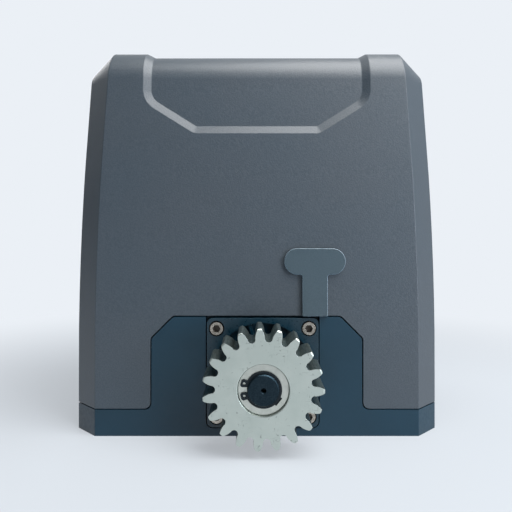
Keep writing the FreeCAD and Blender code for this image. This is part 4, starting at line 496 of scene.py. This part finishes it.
# The shaft's centre drilling is drawn in towards the axis.
shaft = finished("output_shaft", "drive_shaft", SMALL_ROUND_MM)
NOSE = min(vertex.co.y for vertex in shaft.data.vertices)
DRILLING_RADIUS, DRILLING_DEPTH, DRILLING_SHARE = 5 * MM, 20 * MM, 0.62
for vertex in shaft.data.vertices:
    if off_axis(vertex.co) < DRILLING_RADIUS and vertex.co.y < NOSE + DRILLING_DEPTH:
        vertex.co.x = AXIS_X + (vertex.co.x - AXIS_X) * DRILLING_SHARE
        vertex.co.z = AXIS_Z + (vertex.co.z - AXIS_Z) * DRILLING_SHARE

for node, name in (("thrust_washer", "pinion_washer"), ("circlip", "shaft_circlip"),
                   ("motor_shell", "motor_body"), ("motor_end_cap", "motor_cap"),
                   ("gearbox_lid", "gearbox_cover"), ("run_capacitor", "capacitor_can"),
                   ("release_lever", "release_handle"), ("lock_barrel", "release_lock")):
    finished(node, name, SMALL_ROUND_MM)


# ---- floor, light and background -----------------------------------------------------------------
BACKDROP = "ebf0f6"
LIT_SHARE = 0.54            # share of the floor's brightness that the lamps give, so that it takes a shadow
FLOOR_SIZE, FLOOR_BACK = 12.0, 2.0
SHADOW_END, FLOOR_EVEN = 0.20, 0.62         # between these distances the lit floor fades into an even one

bpy.ops.mesh.primitive_plane_add(size=FLOOR_SIZE, location=(0, FLOOR_BACK, 0))
floor = bpy.context.active_object
floor.name = "studio_floor"
bpy.ops.object.transform_apply(location=True)
floor_material = bpy.data.materials.new("pale studio floor")
floor_material.use_nodes = True
tree = floor_material.node_tree
tree.nodes.remove(tree.nodes["Principled BSDF"])
path = add(tree, "LightPath")
glow = add(tree, "Emission", {"Color": srgb(BACKDROP), "Strength": 1 - LIT_SHARE})
matt = add(tree, "BsdfDiffuse", {"Color": srgb("7d8185")})
near = add(tree, "AddShader", {0: glow.outputs[0], 1: matt.outputs[0]})
even = add(tree, "Emission", {"Color": srgb(BACKDROP), "Strength": 1.0})
reach = add(tree, "VectorMath", {0: add(tree, "TexCoord").outputs["Object"]}, operation="LENGTH")
away = add(tree, "MapRange", {"Value": reach.outputs["Value"], "From Min": SHADOW_END,
                              "From Max": FLOOR_EVEN}, interpolation_type="SMOOTHSTEP")
seen = add(tree, "MixShader", {0: away.outputs["Result"], 1: near.outputs[0], 2: even.outputs[0]})
# Mirrored in the motor the floor is even, and the light that it throws up is a plain pale blue's.
plain = add(tree, "BsdfDiffuse", {"Color": srgb("b0c6da")})
unseen = add(tree, "MixShader", {0: path.outputs["Is Glossy Ray"], 1: plain.outputs[0],
                                 2: even.outputs[0]})
choice = add(tree, "MixShader", {0: path.outputs["Is Camera Ray"], 1: unseen.outputs[0],
                                 2: seen.outputs[0]})
feed(tree.nodes["Material Output"], {"Surface": choice.outputs[0]})
floor.data.materials.append(floor_material)

# The world is the plain backdrop behind the motor, a soft grey as light, and a room when mirrored: pale
# towards the backdrop, grey towards the front, and dark low on the left.
world = bpy.data.worlds.new("studio")
bpy.context.scene.world = world
world.use_nodes = True
tree = world.node_tree
path = add(tree, "LightPath")
toward = add(tree, "SeparateXYZ", {"Vector": add(tree, "TexCoord").outputs["Generated"]})
backdrop_side = add(tree, "MapRange", {"Value": toward.outputs["Y"], "From Min": -0.1, "From Max": 0.6})
right_side = add(tree, "MapRange", {"Value": toward.outputs["X"], "From Min": -0.75, "From Max": -0.05})
high_up = add(tree, "MapRange", {"Value": toward.outputs["Z"], "From Min": 0.08, "From Max": 0.45})
open_side = add(tree, "Math", {0: right_side.outputs["Result"], 1: high_up.outputs["Result"]},
                operation="MAXIMUM")
room = add(tree, "Mix", {FACTOR: backdrop_side.outputs["Result"], FIRST: srgb("757b80"),
                         SECOND: srgb(BACKDROP)}, data_type="RGBA")
shaded_room = add(tree, "Mix", {FACTOR: open_side.outputs[0], FIRST: srgb("35393d"),
                                SECOND: room.outputs[MIXED]}, data_type="RGBA")
mirrored = add(tree, "Math", {0: path.outputs["Is Glossy Ray"], 1: path.outputs["Is Transmission Ray"]},
               operation="MAXIMUM")
unseen = add(tree, "Mix", {FACTOR: mirrored.outputs[0], FIRST: srgb("6b737b"),
                           SECOND: shaded_room.outputs[MIXED]}, data_type="RGBA")
sky = add(tree, "Mix", {FACTOR: path.outputs["Is Camera Ray"], FIRST: unseen.outputs[MIXED],
                        SECOND: srgb(BACKDROP)}, data_type="RGBA")
feed(tree.nodes["Background"], {"Color": sky.outputs[MIXED], "Strength": 1.0})


def softbox(name, watts, place, aim, colour="ffffff", **settings):
    """An area lamp at a place, aimed at a point."""
    data = bpy.data.lights.new(name, "AREA")
    data.energy = watts
    data.color = srgb(colour)[:3]
    for setting, value in settings.items():
        setattr(data, setting, value)
    lamp = bpy.data.objects.new(name, data)
    lamp.location = place
    lamp.rotation_euler = (Vector(aim) - Vector(place)).to_track_quat("-Z", "Y").to_euler()
    bpy.context.scene.collection.objects.link(lamp)


# The key lights the front from the right, the top one gives the highlight along the top, and the fill
# keeps the rear clear.
softbox("key softbox", 13.5, (1.15, -1.00, 0.26), (0, -0.1, 0.13), "eaf2ff", shape="SQUARE", size=0.6)
softbox("top softbox", 24.5, (0.40, -0.42, 0.96), (0.14, -0.25, 0.28),
        shape="RECTANGLE", size=0.75, size_y=1.2)
softbox("rear fill", 22.0, (-0.85, 1.30, 0.55), (0, 0.05, 0.15), shape="SQUARE", size=1.4)
